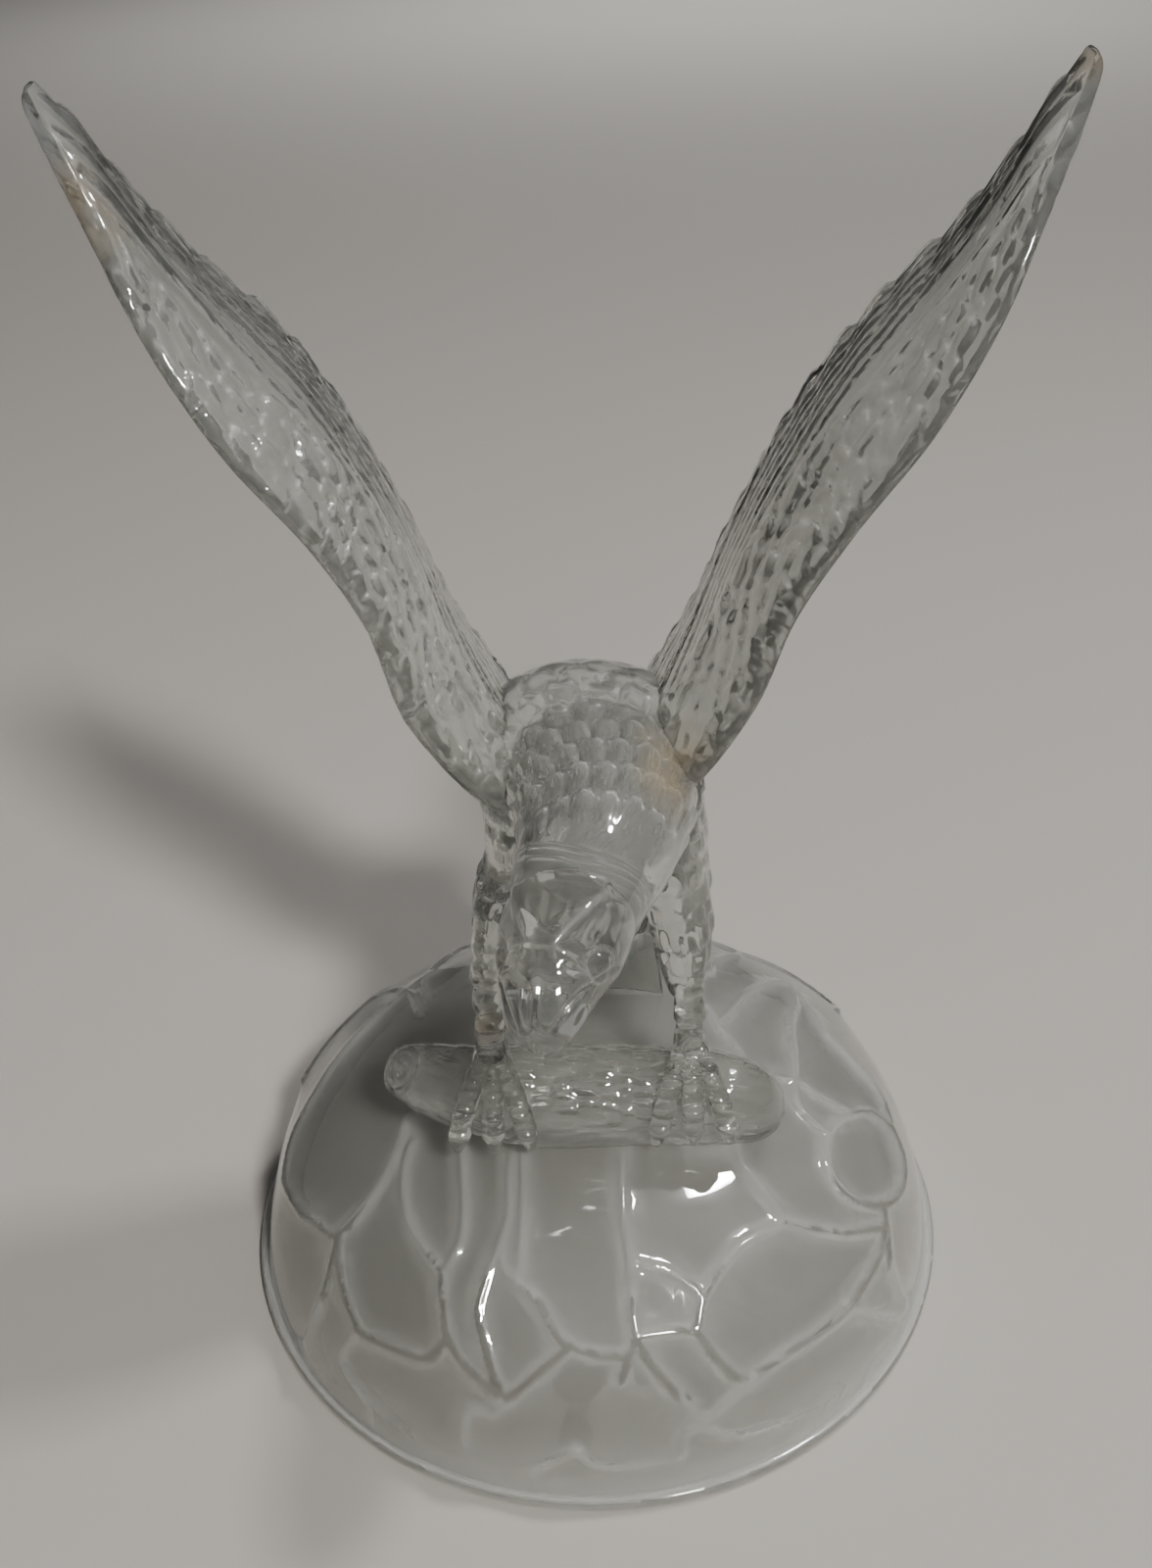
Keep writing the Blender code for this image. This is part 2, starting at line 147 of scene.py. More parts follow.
def added(name, data):
    """A new object in the scene."""
    made = bpy.data.objects.new(name, data)
    bpy.context.scene.collection.objects.link(made)
    return made


def store(mesh, name, values):
    """Writes one number at each point of a mesh."""
    if name not in mesh.attributes:
        mesh.attributes.new(name, "FLOAT", "POINT")
    mesh.attributes[name].data.foreach_set("value", values.ravel().astype(np.float32))


def skin(name, rings, tags=None):
    """A closed mesh over rings of points, outward faces, with float attributes for the relief."""
    rows, count, _ = rings.shape
    points = rings.reshape(-1, 3)
    quads = quads_round(rows, count)
    across = np.arange(count // 2 - 1)
    cap = np.stack([across + 1, across, count - 1 - across, count - 2 - across], -1)
    quads = np.vstack([quads, cap, cap[:, ::-1] + (rows - 1) * count])
    corners = points[quads]
    spread = np.cross(corners[:, 2] - corners[:, 0], corners[:, 3] - corners[:, 1])
    if (corners.mean(1) * spread).sum() < 0:
        quads = quads[:, ::-1]
    mesh = bpy.data.meshes.new(name)
    mesh.from_pydata(points.tolist(), [], quads.tolist())
    mesh.shade_smooth()
    for tag, values in (tags or {}).items():
        store(mesh, tag, np.broadcast_to(values, (rows, count)))
    return added(name, mesh)


def ovals(centres, sides, ups, half_sides, half_ups, count):
    """Rings on ellipses, one for each centre, and the angle of each point from the side."""
    angles = turns(count, 0.5)
    sides, ups = (np.broadcast_to(axes, centres.shape)[:, None] for axes in (sides, ups))
    out = sides * (np.cos(angles)[None, :, None] * half_sides[:, None, None])
    out += ups * (np.sin(angles)[None, :, None] * half_ups[:, None, None])
    return centres[:, None] + out, angles


# %% [markdown]
# ## Calculating in node trees
# Feathers and finishes are sums on node sockets. This class wraps a socket, so that the sums read
# as ordinary Python. It serves Geometry Nodes and shader nodes alike.

# %% A socket that Python can calculate with
class Field:
    def __init__(self, tree, socket):
        self.tree = tree
        self.socket = socket

    def math(self, operation, *others, clamp=False):
        node = self.tree.nodes.new("ShaderNodeMath")
        node.operation = operation
        node.use_clamp = clamp
        for entry, value in zip(node.inputs, (self, *others)):
            feed(self.tree, entry, value)
        return Field(self.tree, node.outputs[0])

    def __add__(self, other):
        return self.math("ADD", other)

    __radd__ = __add__

    def __mul__(self, other):
        return self.math("MULTIPLY", other)

    __rmul__ = __mul__

    def __sub__(self, other):
        return self.math("SUBTRACT", other)

    def __rsub__(self, other):
        return self * -1 + other

    def __truediv__(self, other):
        return self.math("DIVIDE", other)

    def __pow__(self, other):
        return self.math("POWER", other)

    def __lt__(self, other):
        return self.math("LESS_THAN", other)

    def clamp(self):
        return self.math("ADD", 0, clamp=True)


def feed(tree, entry, value):
    """Links a socket, or sets a plain value."""
    if isinstance(value, Field):
        tree.links.new(value.socket, entry)
    else:
        entry.default_value = value


def add_node(tree, kind, settings=None, values=None):
    """A node of another kind: first its settings, then the values or links of its sockets."""
    node = tree.nodes.new(kind)
    for setting, value in (settings or {}).items():
        setattr(node, setting, value)
    for entry, value in (values or {}).items():
        feed(tree, node.inputs[entry], value)
    return node


def field_of(tree, kind, settings=None, values=None, output=0):
    """An output of a new node, to calculate with."""
    return Field(tree, add_node(tree, kind, settings, values).outputs[output])


# %% [markdown]
# ## Feathers by Geometry Nodes
# The feathers are overlapping scales that repeat by a rule, so a node tree makes them. A loft
# carries numbers at each point: how many rows of scales lie behind it ("along"), how many lie
# beside it ("around") and how high a scale stands ("height"). The tree works out the scale of this
# row and the one that laps over it from the row behind, keeps the higher one and moves the point
# out along its normal. Where "blade" is 1, long blades numbered by "lines" take the scales' place.

# %% The feather tree
PLAIN_FEATHERS = {"Overlap": 0.45, "Quill": 0.1, "Unevenness": 0.5, "Wander": 0.25}
PLAIN_FEATHERS |= {"Sunk": 0.5, "Roundness": 0.1, "Ripple": 0.00002, "Milk": 0.0}
DRIFT_NOISE, RIPPLE_NOISE = 90, 330
BLADE_ROW = 40


def feather_tree():
    tree = bpy.data.node_groups.new("overlapping_feathers", "GeometryNodeTree")

    def socket(title, kind, way="INPUT"):
        return tree.interface.new_socket(title, in_out=way, socket_type="NodeSocket" + kind)

    socket("Geometry", "Geometry")
    for title, value in PLAIN_FEATHERS.items():
        socket(title, "Float").default_value = value
    socket("Seed", "Int").default_value = 3
    socket("Material", "Material")
    socket("Geometry", "Geometry", "OUTPUT")
    start = tree.nodes.new("NodeGroupInput")
    given = {entry.name: Field(tree, entry) for entry in start.outputs if entry.name}

    def tag(name):
        kind = "GeometryNodeInputNamedAttribute"
        return field_of(tree, kind, {"data_type": "FLOAT"}, {"Name": name})

    def noise_at(scale, detail):
        values = {"Vector": position, "Scale": scale, "Detail": detail}
        return field_of(tree, "ShaderNodeTexNoise", values=values) - 0.5

    along, around, height = tag("along"), tag("around"), tag("height")
    blade, lines = tag("blade"), tag("lines")
    position = field_of(tree, "GeometryNodeInputPosition")
    drift = noise_at(DRIFT_NOISE, 1) * given["Wander"] * 4 * (1 - blade)
    along = along + drift
    around = around + drift * 0.6
    row = along.math("FLOOR")
    forward = along - row

    def chance(row_number, column):
        values = {0: row_number, 1: column, 2: given["Seed"]}
        place = {"Vector": field_of(tree, "ShaderNodeCombineXYZ", values=values)}
        settings = {"noise_dimensions": "3D"}
        return field_of(tree, "ShaderNodeTexWhiteNoise", settings, place, "Value")

    def scale(row_number, progress):
        shifted = around + row_number.math("MODULO", 2).math("ABSOLUTE") * 0.5
        column = shifted.math("FLOOR")
        offset = (shifted - column - 0.5) * 2
        luck = chance(row_number, column)
        arch = 1 - offset * offset
        reach = given["Overlap"] * arch.math("SQRT") * (1 + (luck - 0.5) * given["Unevenness"])
        quill = (1 - offset.math("ABSOLUTE") * 7).clamp() * given["Quill"]
        gone = (progress / (1 + reach)).clamp()
        swell = (1 - (2 * gone - 1) ** 2).math("MAXIMUM", 0).math("SQRT")
        rise = swell * given["Roundness"] + (gone * 0.8 + 0.2) * (1 - given["Roundness"])
        size = 1 + (luck - 0.5) * given["Unevenness"]
        return rise * (arch.math("SQRT") + quill) * size, reach

    own, _ = scale(row, forward)
    behind, reach = scale(row - 1, forward + 1)
    covered = forward < reach
    scales = own.math("MAXIMUM", behind * covered)
    tips = covered * (forward / reach.math("MAXIMUM", 0.05)).clamp() ** 6
    number = lines.math("FLOOR")
    across = lines - number
    lap = 1 - across
    swell = (1 - (2 * across - 1) ** 2).math("MAXIMUM", 0).math("SQRT")
    shaft = (1 - (across - 0.5).math("ABSOLUTE") * 6).clamp() * given["Quill"] * 1.5
    edge = (across * 3).clamp()
    luck = chance(number * 0 + BLADE_ROW, number)
    blades = (lap * 0.6 + swell * 0.4 + shaft) * edge * (1 + (luck - 0.5) * given["Unevenness"])
    lift = (scales * (1 - blade) + blades * blade - given["Sunk"]) * height
    ripple = noise_at(RIPPLE_NOISE, 2) * given["Ripple"] * (1 - blade)
    lift = lift + ripple * (height * 7500).clamp() * 3
    # Painted highlight: the scale tips and blade edges get a light skim that stands in for light
    # catching them.
    rim_highlight = (tips * (1 - blade) + (1 - edge) * blade * 0.5) * (height * 2500).clamp()

    values = {0: field_of(tree, "GeometryNodeInputNormal"), "Scale": lift}
    offset = field_of(tree, "ShaderNodeVectorMath", {"operation": "SCALE"}, values)
    values = {"Geometry": given["Geometry"], "Offset": offset}
    shape = field_of(tree, "GeometryNodeSetPosition", values=values)
    for name, value in (("painted_light", rim_highlight), ("milk", given["Milk"] * (1 - blade * 0.6))):
        settings = {"data_type": "FLOAT", "domain": "POINT"}
        values = {"Geometry": shape, "Name": name, "Value": value}
        shape = field_of(tree, "GeometryNodeStoreNamedAttribute", settings, values)
    shape = field_of(tree, "GeometryNodeRealizeInstances", values={0: shape})
    values = {"Geometry": shape, "Material": given["Material"]}
    shape = field_of(tree, "GeometryNodeSetMaterial", values=values)
    feed(tree, tree.nodes.new("NodeGroupOutput").inputs[0], shape)
    return tree


FEATHERS = feather_tree()
clear_crystal = bpy.data.materials.new("clear_crystal")
frosted_crystal = bpy.data.materials.new("frosted_crystal")
print("feather tree:", len(FEATHERS.nodes), "nodes")


# %% Lay feathers on a loft
def settled(obj):
    """Keeps what the modifiers make as the object's own plain mesh."""
    seen = obj.evaluated_get(bpy.context.evaluated_depsgraph_get())
    mesh = bpy.data.meshes.new_from_object(seen)
    obj.modifiers.clear()
    obj.data = mesh
    return mesh


def thinned(obj, keep):
    """Thins a closed mesh to a share of its triangles, where it is flattest first."""
    obj.modifiers.new("fewer_faces", "DECIMATE").ratio = keep
    print(f"{obj.name}: {len(settled(obj).polygons)} faces")
    return obj


def feather(obj, keep, **inputs):
    """Runs the feather tree on a loft and thins it to a share of its triangles."""
    cover = obj.modifiers.new("feathers", "NODES")
    cover.node_group = FEATHERS
    wanted = {"Material": clear_crystal, **inputs}
    for entry in FEATHERS.interface.items_tree:
        if entry.item_type == "SOCKET" and entry.in_out == "INPUT" and entry.name in wanted:
            cover[entry.identifier] = wanted[entry.name]
    return thinned(obj, keep)


# %% [markdown]
# ## Body and neck
# Two plain lofts give the form, as in the CAD solid: an upright body and a neck that reaches
# forward and down. The scales run over both without a break, so one tube of rings follows a bent
# axis, and each of its points is pushed in from outside until it meets the lofts.

# %% The plain body and neck
# At these shares of the way from the head to the tail, how long a scale is.
SCALE_LENGTH = ((0, 0.15, 0.35, 0.7, 1), (0.0095, 0.0075, 0.0062, 0.0062, 0.0075))
SCALE_HEIGHT = 0.0017
SCALES_AROUND = 19
# How much of the relief stands where the photograph shows nothing.
HIDDEN_RELIEF = 0.25
TRUNK_ASIDE = 0.5
# Height, y of the axis, half width and half depth, in shares.
TRUNK = (
    (-1.5, 10.6, 6.6, 2.6),
    (5.0, 9.6, 7.8, 4.6),
    (11.2, 7.0, 10.0, 8.0),
    (17.0, 4.2, 11.3, 10.4),
    (22.8, 2.4, 11.8, 12.0),
    (28.4, 2.6, 11.8, 12.8),
    (32.6, 4.2, 11.2, 11.2),
    (35.8, 5.4, 9.6, 8.6),
    (37.8, 4.8, 7.2, 5.6),
    (38.8, 4.0, 3.0, 2.4),
)
# x, y and z of the axis, half width and half height, in shares.
NECK = (
    (0.8, 3.5, 29.8, 8.6, 7.6),
    (1.6, -3.5, 30.3, 9.8, 8.2),
    (2.1, -8.6, 30.4, 9.6, 8.0),
    (1.3, -14.4, 29.9, 8.4, 7.4),
    (-0.2, -19.4, 28.9, 7.3, 6.7),
    (-1.3, -23.6, 27.9, 6.2, 5.5),
    (-2.0, -26.3, 27.4, 4.8, 4.5),
)


def trunk_rings(samples, count):
    z, y, wide, deep = sampled(TRUNK, samples).T
    centres = spots(np.stack([z * 0 + TRUNK_ASIDE, y, z], 1))
    return ovals(centres, X_AXIS, Y_AXIS, wide * SHARE, deep * SHARE, count)[0]


def neck_rings(samples, count):
    rows = sampled(NECK, samples)
    centres = spots(rows[:, :3])
    ahead = unit(np.gradient(centres, axis=0))
    sides = unit(np.cross(ahead, Z_AXIS))
    ups = np.cross(sides, ahead)
    return ovals(centres, sides, ups, rows[:, 3] * SHARE, rows[:, 4] * SHARE, count)[0]


# %% The target that the rings are pushed against
def target_of(*ring_sets):
    points, faces = [], []
    for rings in ring_sets:
        rows, count, _ = rings.shape
        first = len(points)
        points.extend(rings.reshape(-1, 3).tolist())
        faces.extend((first + quads_round(rows, count)).tolist())
        for row in (0, rows - 1):
            faces.append([first + row * count + i for i in range(count)])
    return BVHTree.FromPolygons(points, faces)


# %% The body and neck
def body():
    # x, y and z of the tube's middle, and the lean of its ring from upright to level in degrees.
    bend = (
        (-2.0, -26.3, 27.4, 0),
        (-1.3, -23.6, 27.9, 0),
        (-0.2, -19.4, 28.9, 0),
        (1.3, -14.4, 29.9, 2),
        (1.8, -11.0, 30.0, 10),
        (1.6, -7.2, 29.6, 30),
        (1.2, -2.8, 28.4, 52),
        (1.0, 0.4, 25.2, 72),
        (0.6, 2.4, 20.5, 88),
        (0.5, 4.2, 17.0, 90),
        (0.5, 7.0, 11.2, 90),
        (0.5, 9.6, 5.0, 90),
        (0.5, 10.6, -1.5, 90),
    )
    samples, count = 176, 150
    rows = sampled(bend, samples)
    centres = spots(rows[:, :3])
    lean = np.radians(rows[:, 3])[:, None]
    ups = Z_AXIS * np.cos(lean) + Y_AXIS * np.sin(lean)
    angles = turns(count, 0.5)
    target = target_of(trunk_rings(60, 64), neck_rings(50, 64))
    spread = X_AXIS * np.cos(angles)[None, :, None] + ups[:, None] * np.sin(angles)[None, :, None]
    far = 0.05
    reach = np.full((samples, count), 0.004)
    for i, k in np.ndindex(samples, count):
        out = Vector(spread[i, k])
        hit = target.ray_cast(Vector(centres[i]) + out * far, -out, far)
        if hit[3] is not None:
            reach[i, k] = far - hit[3]
    for _ in range(6):
        around = (np.roll(reach, 1, 1) + 2 * reach + np.roll(reach, -1, 1)) / 4
        reach[1:-1] = (around[:-2] + 2 * around[1:-1] + around[2:]) / 4
    rings = centres[:, None] + spread * reach[..., None]
    length = run_length(rings[:, count // 4])
    size = np.interp(length / length[-1], *SCALE_LENGTH)
    along = np.cumsum(np.gradient(length) / size)[:, None]
    fade = np.interp(length, (0, 0.012, 0.026, 0.038), (0, 0, 0.5, 1))
    fade = (fade * np.interp(rows[:, 3], (54, 76), (1, HIDDEN_RELIEF)))[:, None]
    fade = fade * np.interp(np.sin(angles), (-0.6, 0), (HIDDEN_RELIEF, 1))
    around = angles[None] / (2 * math.pi) * SCALES_AROUND
    tags = {"along": along, "around": around, "height": SCALE_HEIGHT * fade, "blade": 0}
    made = skin("body", rings, tags)
    return feather(made, 0.66, Overlap=0.6, Quill=0.0, Unevenness=0.3, Wander=0.06, Milk=0.3)


# %% [markdown]
# ## Head
# A flat crown lies between two brow ridges, and crown and cheeks end behind in scalloped edges.
# The eye lies in a hollow, and the beak has a raised cere, a nostril and a blunt hooked tip. One
# function of the place along the head and the angle round it raises them on one dense loft.

# %% Where the head is
HEAD_AHEAD = unit(np.array((-0.28, -0.945, -0.17)))
HEAD_LEVEL = unit(Z_AXIS - HEAD_AHEAD * HEAD_AHEAD[2])
HEAD_ROLL = math.radians(8)
HEAD_UP = HEAD_LEVEL * math.cos(HEAD_ROLL) + np.cross(HEAD_AHEAD, HEAD_LEVEL) * math.sin(HEAD_ROLL)
HEAD_SIDE = np.cross(HEAD_AHEAD, HEAD_UP)
HEAD_CENTRE = spots((-2.4, -27.1, 27.3))


def along_head(name, rows, count, samples, relief=None):
    """A loft from rows of place ahead and up, half width, half height and tip."""
    place, rise, wide, high, tip = sampled(rows, samples).T
    axes = np.stack([HEAD_AHEAD, HEAD_UP])
    centres = HEAD_CENTRE + np.stack([place, rise], 1) @ axes * SHARE
    tip = np.radians(tip)[:, None]
    ups = HEAD_UP * np.cos(tip) + HEAD_AHEAD * np.sin(tip)
    rings, angles = ovals(centres, HEAD_SIDE, ups, wide * SHARE, high * SHARE, count)
    if relief is None:
        return skin(name, rings)
    raised, lines = relief(place[:, None], angles[None])
    rings = rings + unit(rings - centres[:, None]) * raised[..., None]
    # A milky skim over the head that rises towards the beak; the rise is a painted highlight on
    # the beak.
    milk = np.interp(place, (2, 7), (0.12, 0.2))[:, None]
    return skin(name, rings, {"painted_light": lines, "milk": milk})


# %% The skull and beak
def bump(values, width):
    """A smooth hump around zero."""
    return np.exp(-((values / width) ** 2))


def face_relief(place, angles):
    """How far the skull stands out in metres, and how much painted highlight its brow, lid and
    nostril lines get.
    """
    from_top = np.abs(np.degrees(angles) - 90)
    from_top = np.minimum(from_top, 360 - from_top)
    under_brow = from_top - np.interp(place, (-3.0, -0.2, 1.5, 3.6), (46, 34, 27, 15))
    on_head = clamp((place + 4.4) / 1.8) * clamp((5.0 - place) / 1.6)
    brow = bump(under_brow, np.where(under_brow > 0, 5, 12)) * on_head
    socket = bump(from_top - 56, 16) * bump(place - 3.0, 1.9)
    from_eye = ((place - 3.5) / 1.15) ** 2 + ((from_top - 71) / 13) ** 2
    eye = np.maximum(1 - from_eye, 0) ** 0.5
    lid = bump(from_eye - 1.7, 0.45)
    curve = place - 0.012 * np.maximum(from_top - 30, 0)
    cere = (np.tanh((curve - 4.0) / 0.16) - np.tanh((curve - 5.3) / 0.2)) / 2 * (from_top < 80)
    nostril = bump(from_top - 42, 13) * bump(place - 4.9 + 0.012 * (from_top - 42), 0.38)
    culmen = bump(from_top, 8) * clamp((place - 4.2) / 1.5)
    lip = np.interp(place, (1.8, 5, 8.4), (98, 73, 30))
    mouth = bump(from_top - lip, 4) * clamp((place - 1.8) / 0.8) * clamp((8.8 - place) / 0.5)
    crown_edge = -2.9 - 1.7 * (1 - np.minimum(from_top / 46, 1) ** 2)
    cheek_edge = -2.8 - 0.8 * (1 - np.minimum(np.abs(from_top - 80) / 40, 1) ** 2)
    behind = place - np.where(from_top < 46, crown_edge, cheek_edge)
    lobes = clamp(behind / 0.25) * clamp((130 - from_top) / 12) * clamp((3.5 - place) / 6)
    raised = 0.0008 * brow - 0.0008 * socket + 0.0009 * eye + 0.00025 * lid + 0.00035 * cere
    raised += 0.0006 * culmen - 0.0006 * nostril - 0.0005 * mouth + 0.0003 * lobes
    # Painted highlight: light streaks along the brow, round the eye lid and at the nostril.
    lines = 0.45 * bump(under_brow, 4) * on_head + 0.4 * lid + 0.3 * bump(nostril - 0.5, 0.2)
    return raised, clamp(lines)


def head():
    skull = (
        (-6.4, -0.2, 4.6, 4.2, 0),
        (-4.5, 0.0, 6.1, 5.5, 0),
        (-1.7, 0.2, 6.4, 5.7, 0),
        (1.2, 0.0, 6.2, 5.5, 2),
        (3.5, -0.3, 5.4, 4.9, 5),
        (5.2, -0.7, 4.8, 4.4, 12),
        (6.9, -1.3, 4.3, 3.8, 28),
        (8.4, -2.2, 3.6, 2.9, 50),
        (9.2, -3.3, 2.6, 1.8, 74),
        (9.3, -4.3, 1.4, 0.9, 90),
        (9.2, -4.9, 0.5, 0.35, 100),
    )
    lower = (
        (1.6, -3.7, 3.4, 1.6, 0),
        (4.2, -4.2, 3.0, 1.4, 4),
        (6.0, -4.7, 2.2, 1.0, 8),
        (7.1, -5.1, 0.9, 0.5, 10),
    )
    skull = thinned(along_head("skull", skull, 144, 130, face_relief), 0.6)
    return [skull, along_head("lower_beak", lower, 24, 24)]


# %% [markdown]
# ## Wings
# A wing is a thin curved plate that is thicker in front. Small scales cover its front half. Behind
# them long blades lie side by side, and the rear edge cuts them off one after the other, which
# gives the notches that the photograph shows.

# %% The edges of a wing
# x, y and z of a wing on the +X side, then how far both wings sway to +X, in shares.
FRONT_EDGE = (
    (5.1, -5.2, 26.2, 0.0),
    (11.2, -8.6, 33.0, 0.0),
    (16.8, -12.1, 44.1, 0.0),
    (19.8, -12.7, 53.9, 0.5),
    (24.7, -12.7, 62.5, 0.8),
    (31.3, -12.1, 71.2, 0.7),
    (36.9, -9.2, 79.8, 0.65),
    (40.8, -5.4, 87.3, 0.55),
    (44.8, 0.2, 94.0, 0.4),
    (47.9, 5.0, 99.2, 0.15),
)
REAR_EDGE = (
    (4.4, 10.4, 27.4, -0.2),
    (8.7, 14.4, 34.0, -0.2),
    (14.0, 15.6, 43.0, -0.2),
    (18.7, 15.2, 54.6, 0.0),
    (24.0, 14.8, 65.8, 0.3),
    (30.4, 14.0, 75.6, 0.8),
    (37.5, 12.8, 83.4, 0.8),
    (42.1, 10.8, 90.2, 0.6),
    (45.4, 8.6, 96.6, 0.4),
    (47.5, 7.0, 100.0, 0.15),
)


def edge_points(edge, side, share):
    x, y, z, sway = smooth_rows(edge, share).T
    return spots(np.stack([side * x + sway, y, z], 1))


# %% A wing
# At these shares of the rear edge: metres from one feather's tip to the next, and how steeply the
# feathers meet the edge.
ALONG_EDGE = (0, 0.3, 0.6, 1)
TIP_TO_TIP = (0.0066, 0.0078, 0.0102, 0.0112)
STEEPNESS = (0.3, 0.32, 0.42, 0.5)
COVERT_LENGTH = 0.0044
COVERT_WIDTH = 0.0054
# At these shares of the wing's length: how high coverts and blades stand, and the share of its
# width where the blades start.
COVERT_HEIGHT = ((0, 0.1, 0.7, 0.9, 1), (0.0008, 0.001, 0.001, 0.0008, 0.0004))
BLADE_HEIGHT = ((0, 0.1, 0.9, 1), (0.0004, 0.00055, 0.00055, 0.0003))
FLIGHT_FROM = ((0, 0.25, 0.6, 0.74, 0.86, 1), (0.5, 0.43, 0.38, 0.31, 0.12, 0))


def wing(name, side, stations=230, columns=62):
    share = np.linspace(0, 1, stations)
    swept = np.maximum(share - 0.45, 0) / 0.55
    fronts = edge_points(FRONT_EDGE, side, np.minimum(share, 0.45) * 0.92 + 0.586 * swept**1.5)
    rears = edge_points(REAR_EDGE, side, share)
    chord = rears - fronts
    length = np.linalg.norm(chord, axis=1)
    inward = unit(np.cross(np.gradient(fronts + rears, axis=0), chord))
    inward *= np.where(inward[:, :1] * side > 0, -1, 1)
    across = np.linspace(0, 1, columns + 1)[None, :, None]
    tip_to_tip = np.interp(share, ALONG_EDGE, TIP_TO_TIP)
    steepness = np.interp(share, ALONG_EDGE, STEEPNESS)
    tips = np.cumsum(np.gradient(run_length(rears)) / tip_to_tip)
    notch = np.interp(share, (0, 0.35, 0.55, 0.95, 1), (0.0009, 0.0014, 0.0022, 0.0018, 0))
    notch = notch * (np.sin(math.pi * (tips % 1) ** 1.7) - 0.5)
    middle = fronts[:, None] + chord[:, None] * across
    camber = length[:, None, None] * WING_CAMBER * np.sin(math.pi * across)
    middle = middle + inward[:, None] * camber
    middle = middle + unit(chord)[:, None] * notch[:, None, None] * across**4
    thick = WING_THICKNESS + (WING_TIP_THICKNESS - WING_THICKNESS) * share[:, None, None]
    half = thick / 2 * (1 - 0.55 * across) * np.sqrt(np.minimum(0.12 + 13 * across, 1))
    half = inward[:, None] * half
    rings = np.concatenate([middle + half, (middle - half)[:, ::-1]], 1)
    centre = rings.mean(1, keepdims=True)
    closing = np.sqrt(1 - clamp((share - 0.97) / 0.0301) ** 3)
    rings = centre + (rings - centre) * closing[:, None, None]
    depth = across[..., 0] * length[:, None]
    spread = run_length((fronts + rears) / 2)[:, None]
    flight_from = np.interp(share, *FLIGHT_FROM)[:, None]
    flight = clamp((depth / length[:, None] - flight_from) / 0.08)
    coverts = np.interp(share, *COVERT_HEIGHT)[:, None]
    blades = np.interp(share, *BLADE_HEIGHT)[:, None]
    rim = clamp(depth / 0.0012) * np.clip((length[:, None] - depth) / 0.0012, 0.25, 1)
    rim = rim * clamp((0.985 - share[:, None]) / 0.02)
    tags = {
        "along": spread / COVERT_LENGTH + depth / 0.021,
        "around": depth / COVERT_WIDTH + spread / 0.055,
        "lines": tips[:, None] + (length[:, None] - depth) / (steepness * tip_to_tip)[:, None],
        "height": (coverts + (blades - coverts) * flight) * rim,
        "blade": flight,
    }
    tags = {tag: np.concatenate([values, values[:, ::-1]], 1) for tag, values in tags.items()}
    tags["height"][:, columns + 1 :] *= HIDDEN_RELIEF
    made = skin(name, rings, tags)
    look = {"Unevenness": 1.1, "Wander": 0.6, "Roundness": 0.35, "Ripple": 0.00007, "Milk": 0.24}
    return feather(made, 0.66, Seed=5 + side, **look)


# %% [markdown]
# ## Legs and toes
# Each thigh is feathered and narrows to a bare tarsus. Three toes lie over the log towards the
# front and one behind, with rings of small shields. A scale and a shield are given as their
# length and height in metres.

# %% A leg
THIGH_AROUND = 11
THIGH_SCALE = (0.0046, 0.0013)
TARSUS_SHIELD = (0.003, 0.0009)
TOE_SHIELD = (0.002, 0.0011)


def leg(name, side, thigh_end):
    ankle = np.array((side * STANCE / 2, -LOG_FORWARD, PERCH_TOP))
    tarsus = TARSUS_DIAMETER / 2
    hip = spots((side * 8.0 + 1.0, 0.5, 28))
    thigh = spots((side * 8.0 + 1.4, -3.5, 22))
    knee = spots((side * 9.6 + 0.9, -7.5, thigh_end + 4))
    cuff = spots((side * 10.4 + 0.2, -10.0, thigh_end))
    drop = ankle - cuff
    x, y, z = ankle
    rows = [
        (*hip, 4.2 * SHARE, 7.4 * SHARE),
        (*thigh, 4.2 * SHARE, 6.6 * SHARE),
        (*knee, 3.3 * SHARE, 4.4 * SHARE),
        (*cuff, 2.2 * SHARE, 2.6 * SHARE),
        (x, cuff[1] + drop[1] * 0.5, cuff[2] + drop[2] * 0.3, tarsus, tarsus),
        (x, cuff[1] + drop[1] * 0.9, cuff[2] + drop[2] * 0.75, tarsus, tarsus),
        (x, y, z + tarsus * 0.3, tarsus * 1.25, tarsus * 1.3),
        (x, y, z - tarsus * 0.9, tarsus * 1.1, tarsus * 1.1),
    ]
    rows = sampled(rows, 110)
    rings, angles = ovals(rows[:, :3], X_AXIS, Y_AXIS, rows[:, 3], rows[:, 4], 48)
    length = run_length(rows[:, :3])
    feathered = rows[:, 2] > cuff[2]
    along = np.where(feathered, length / THIGH_SCALE[0], length / TARSUS_SHIELD[0])[:, None]
    around = np.where(feathered[:, None], angles[None] / (2 * math.pi) * THIGH_AROUND, 0.5)
    height = np.where(feathered, THIGH_SCALE[1], TARSUS_SHIELD[1])[:, None]
    tags = {"along": along, "around": around, "height": height, "blade": 0}
    return feather(skin(name, rings, tags), 0.7, Roundness=0.3, Milk=0.2)


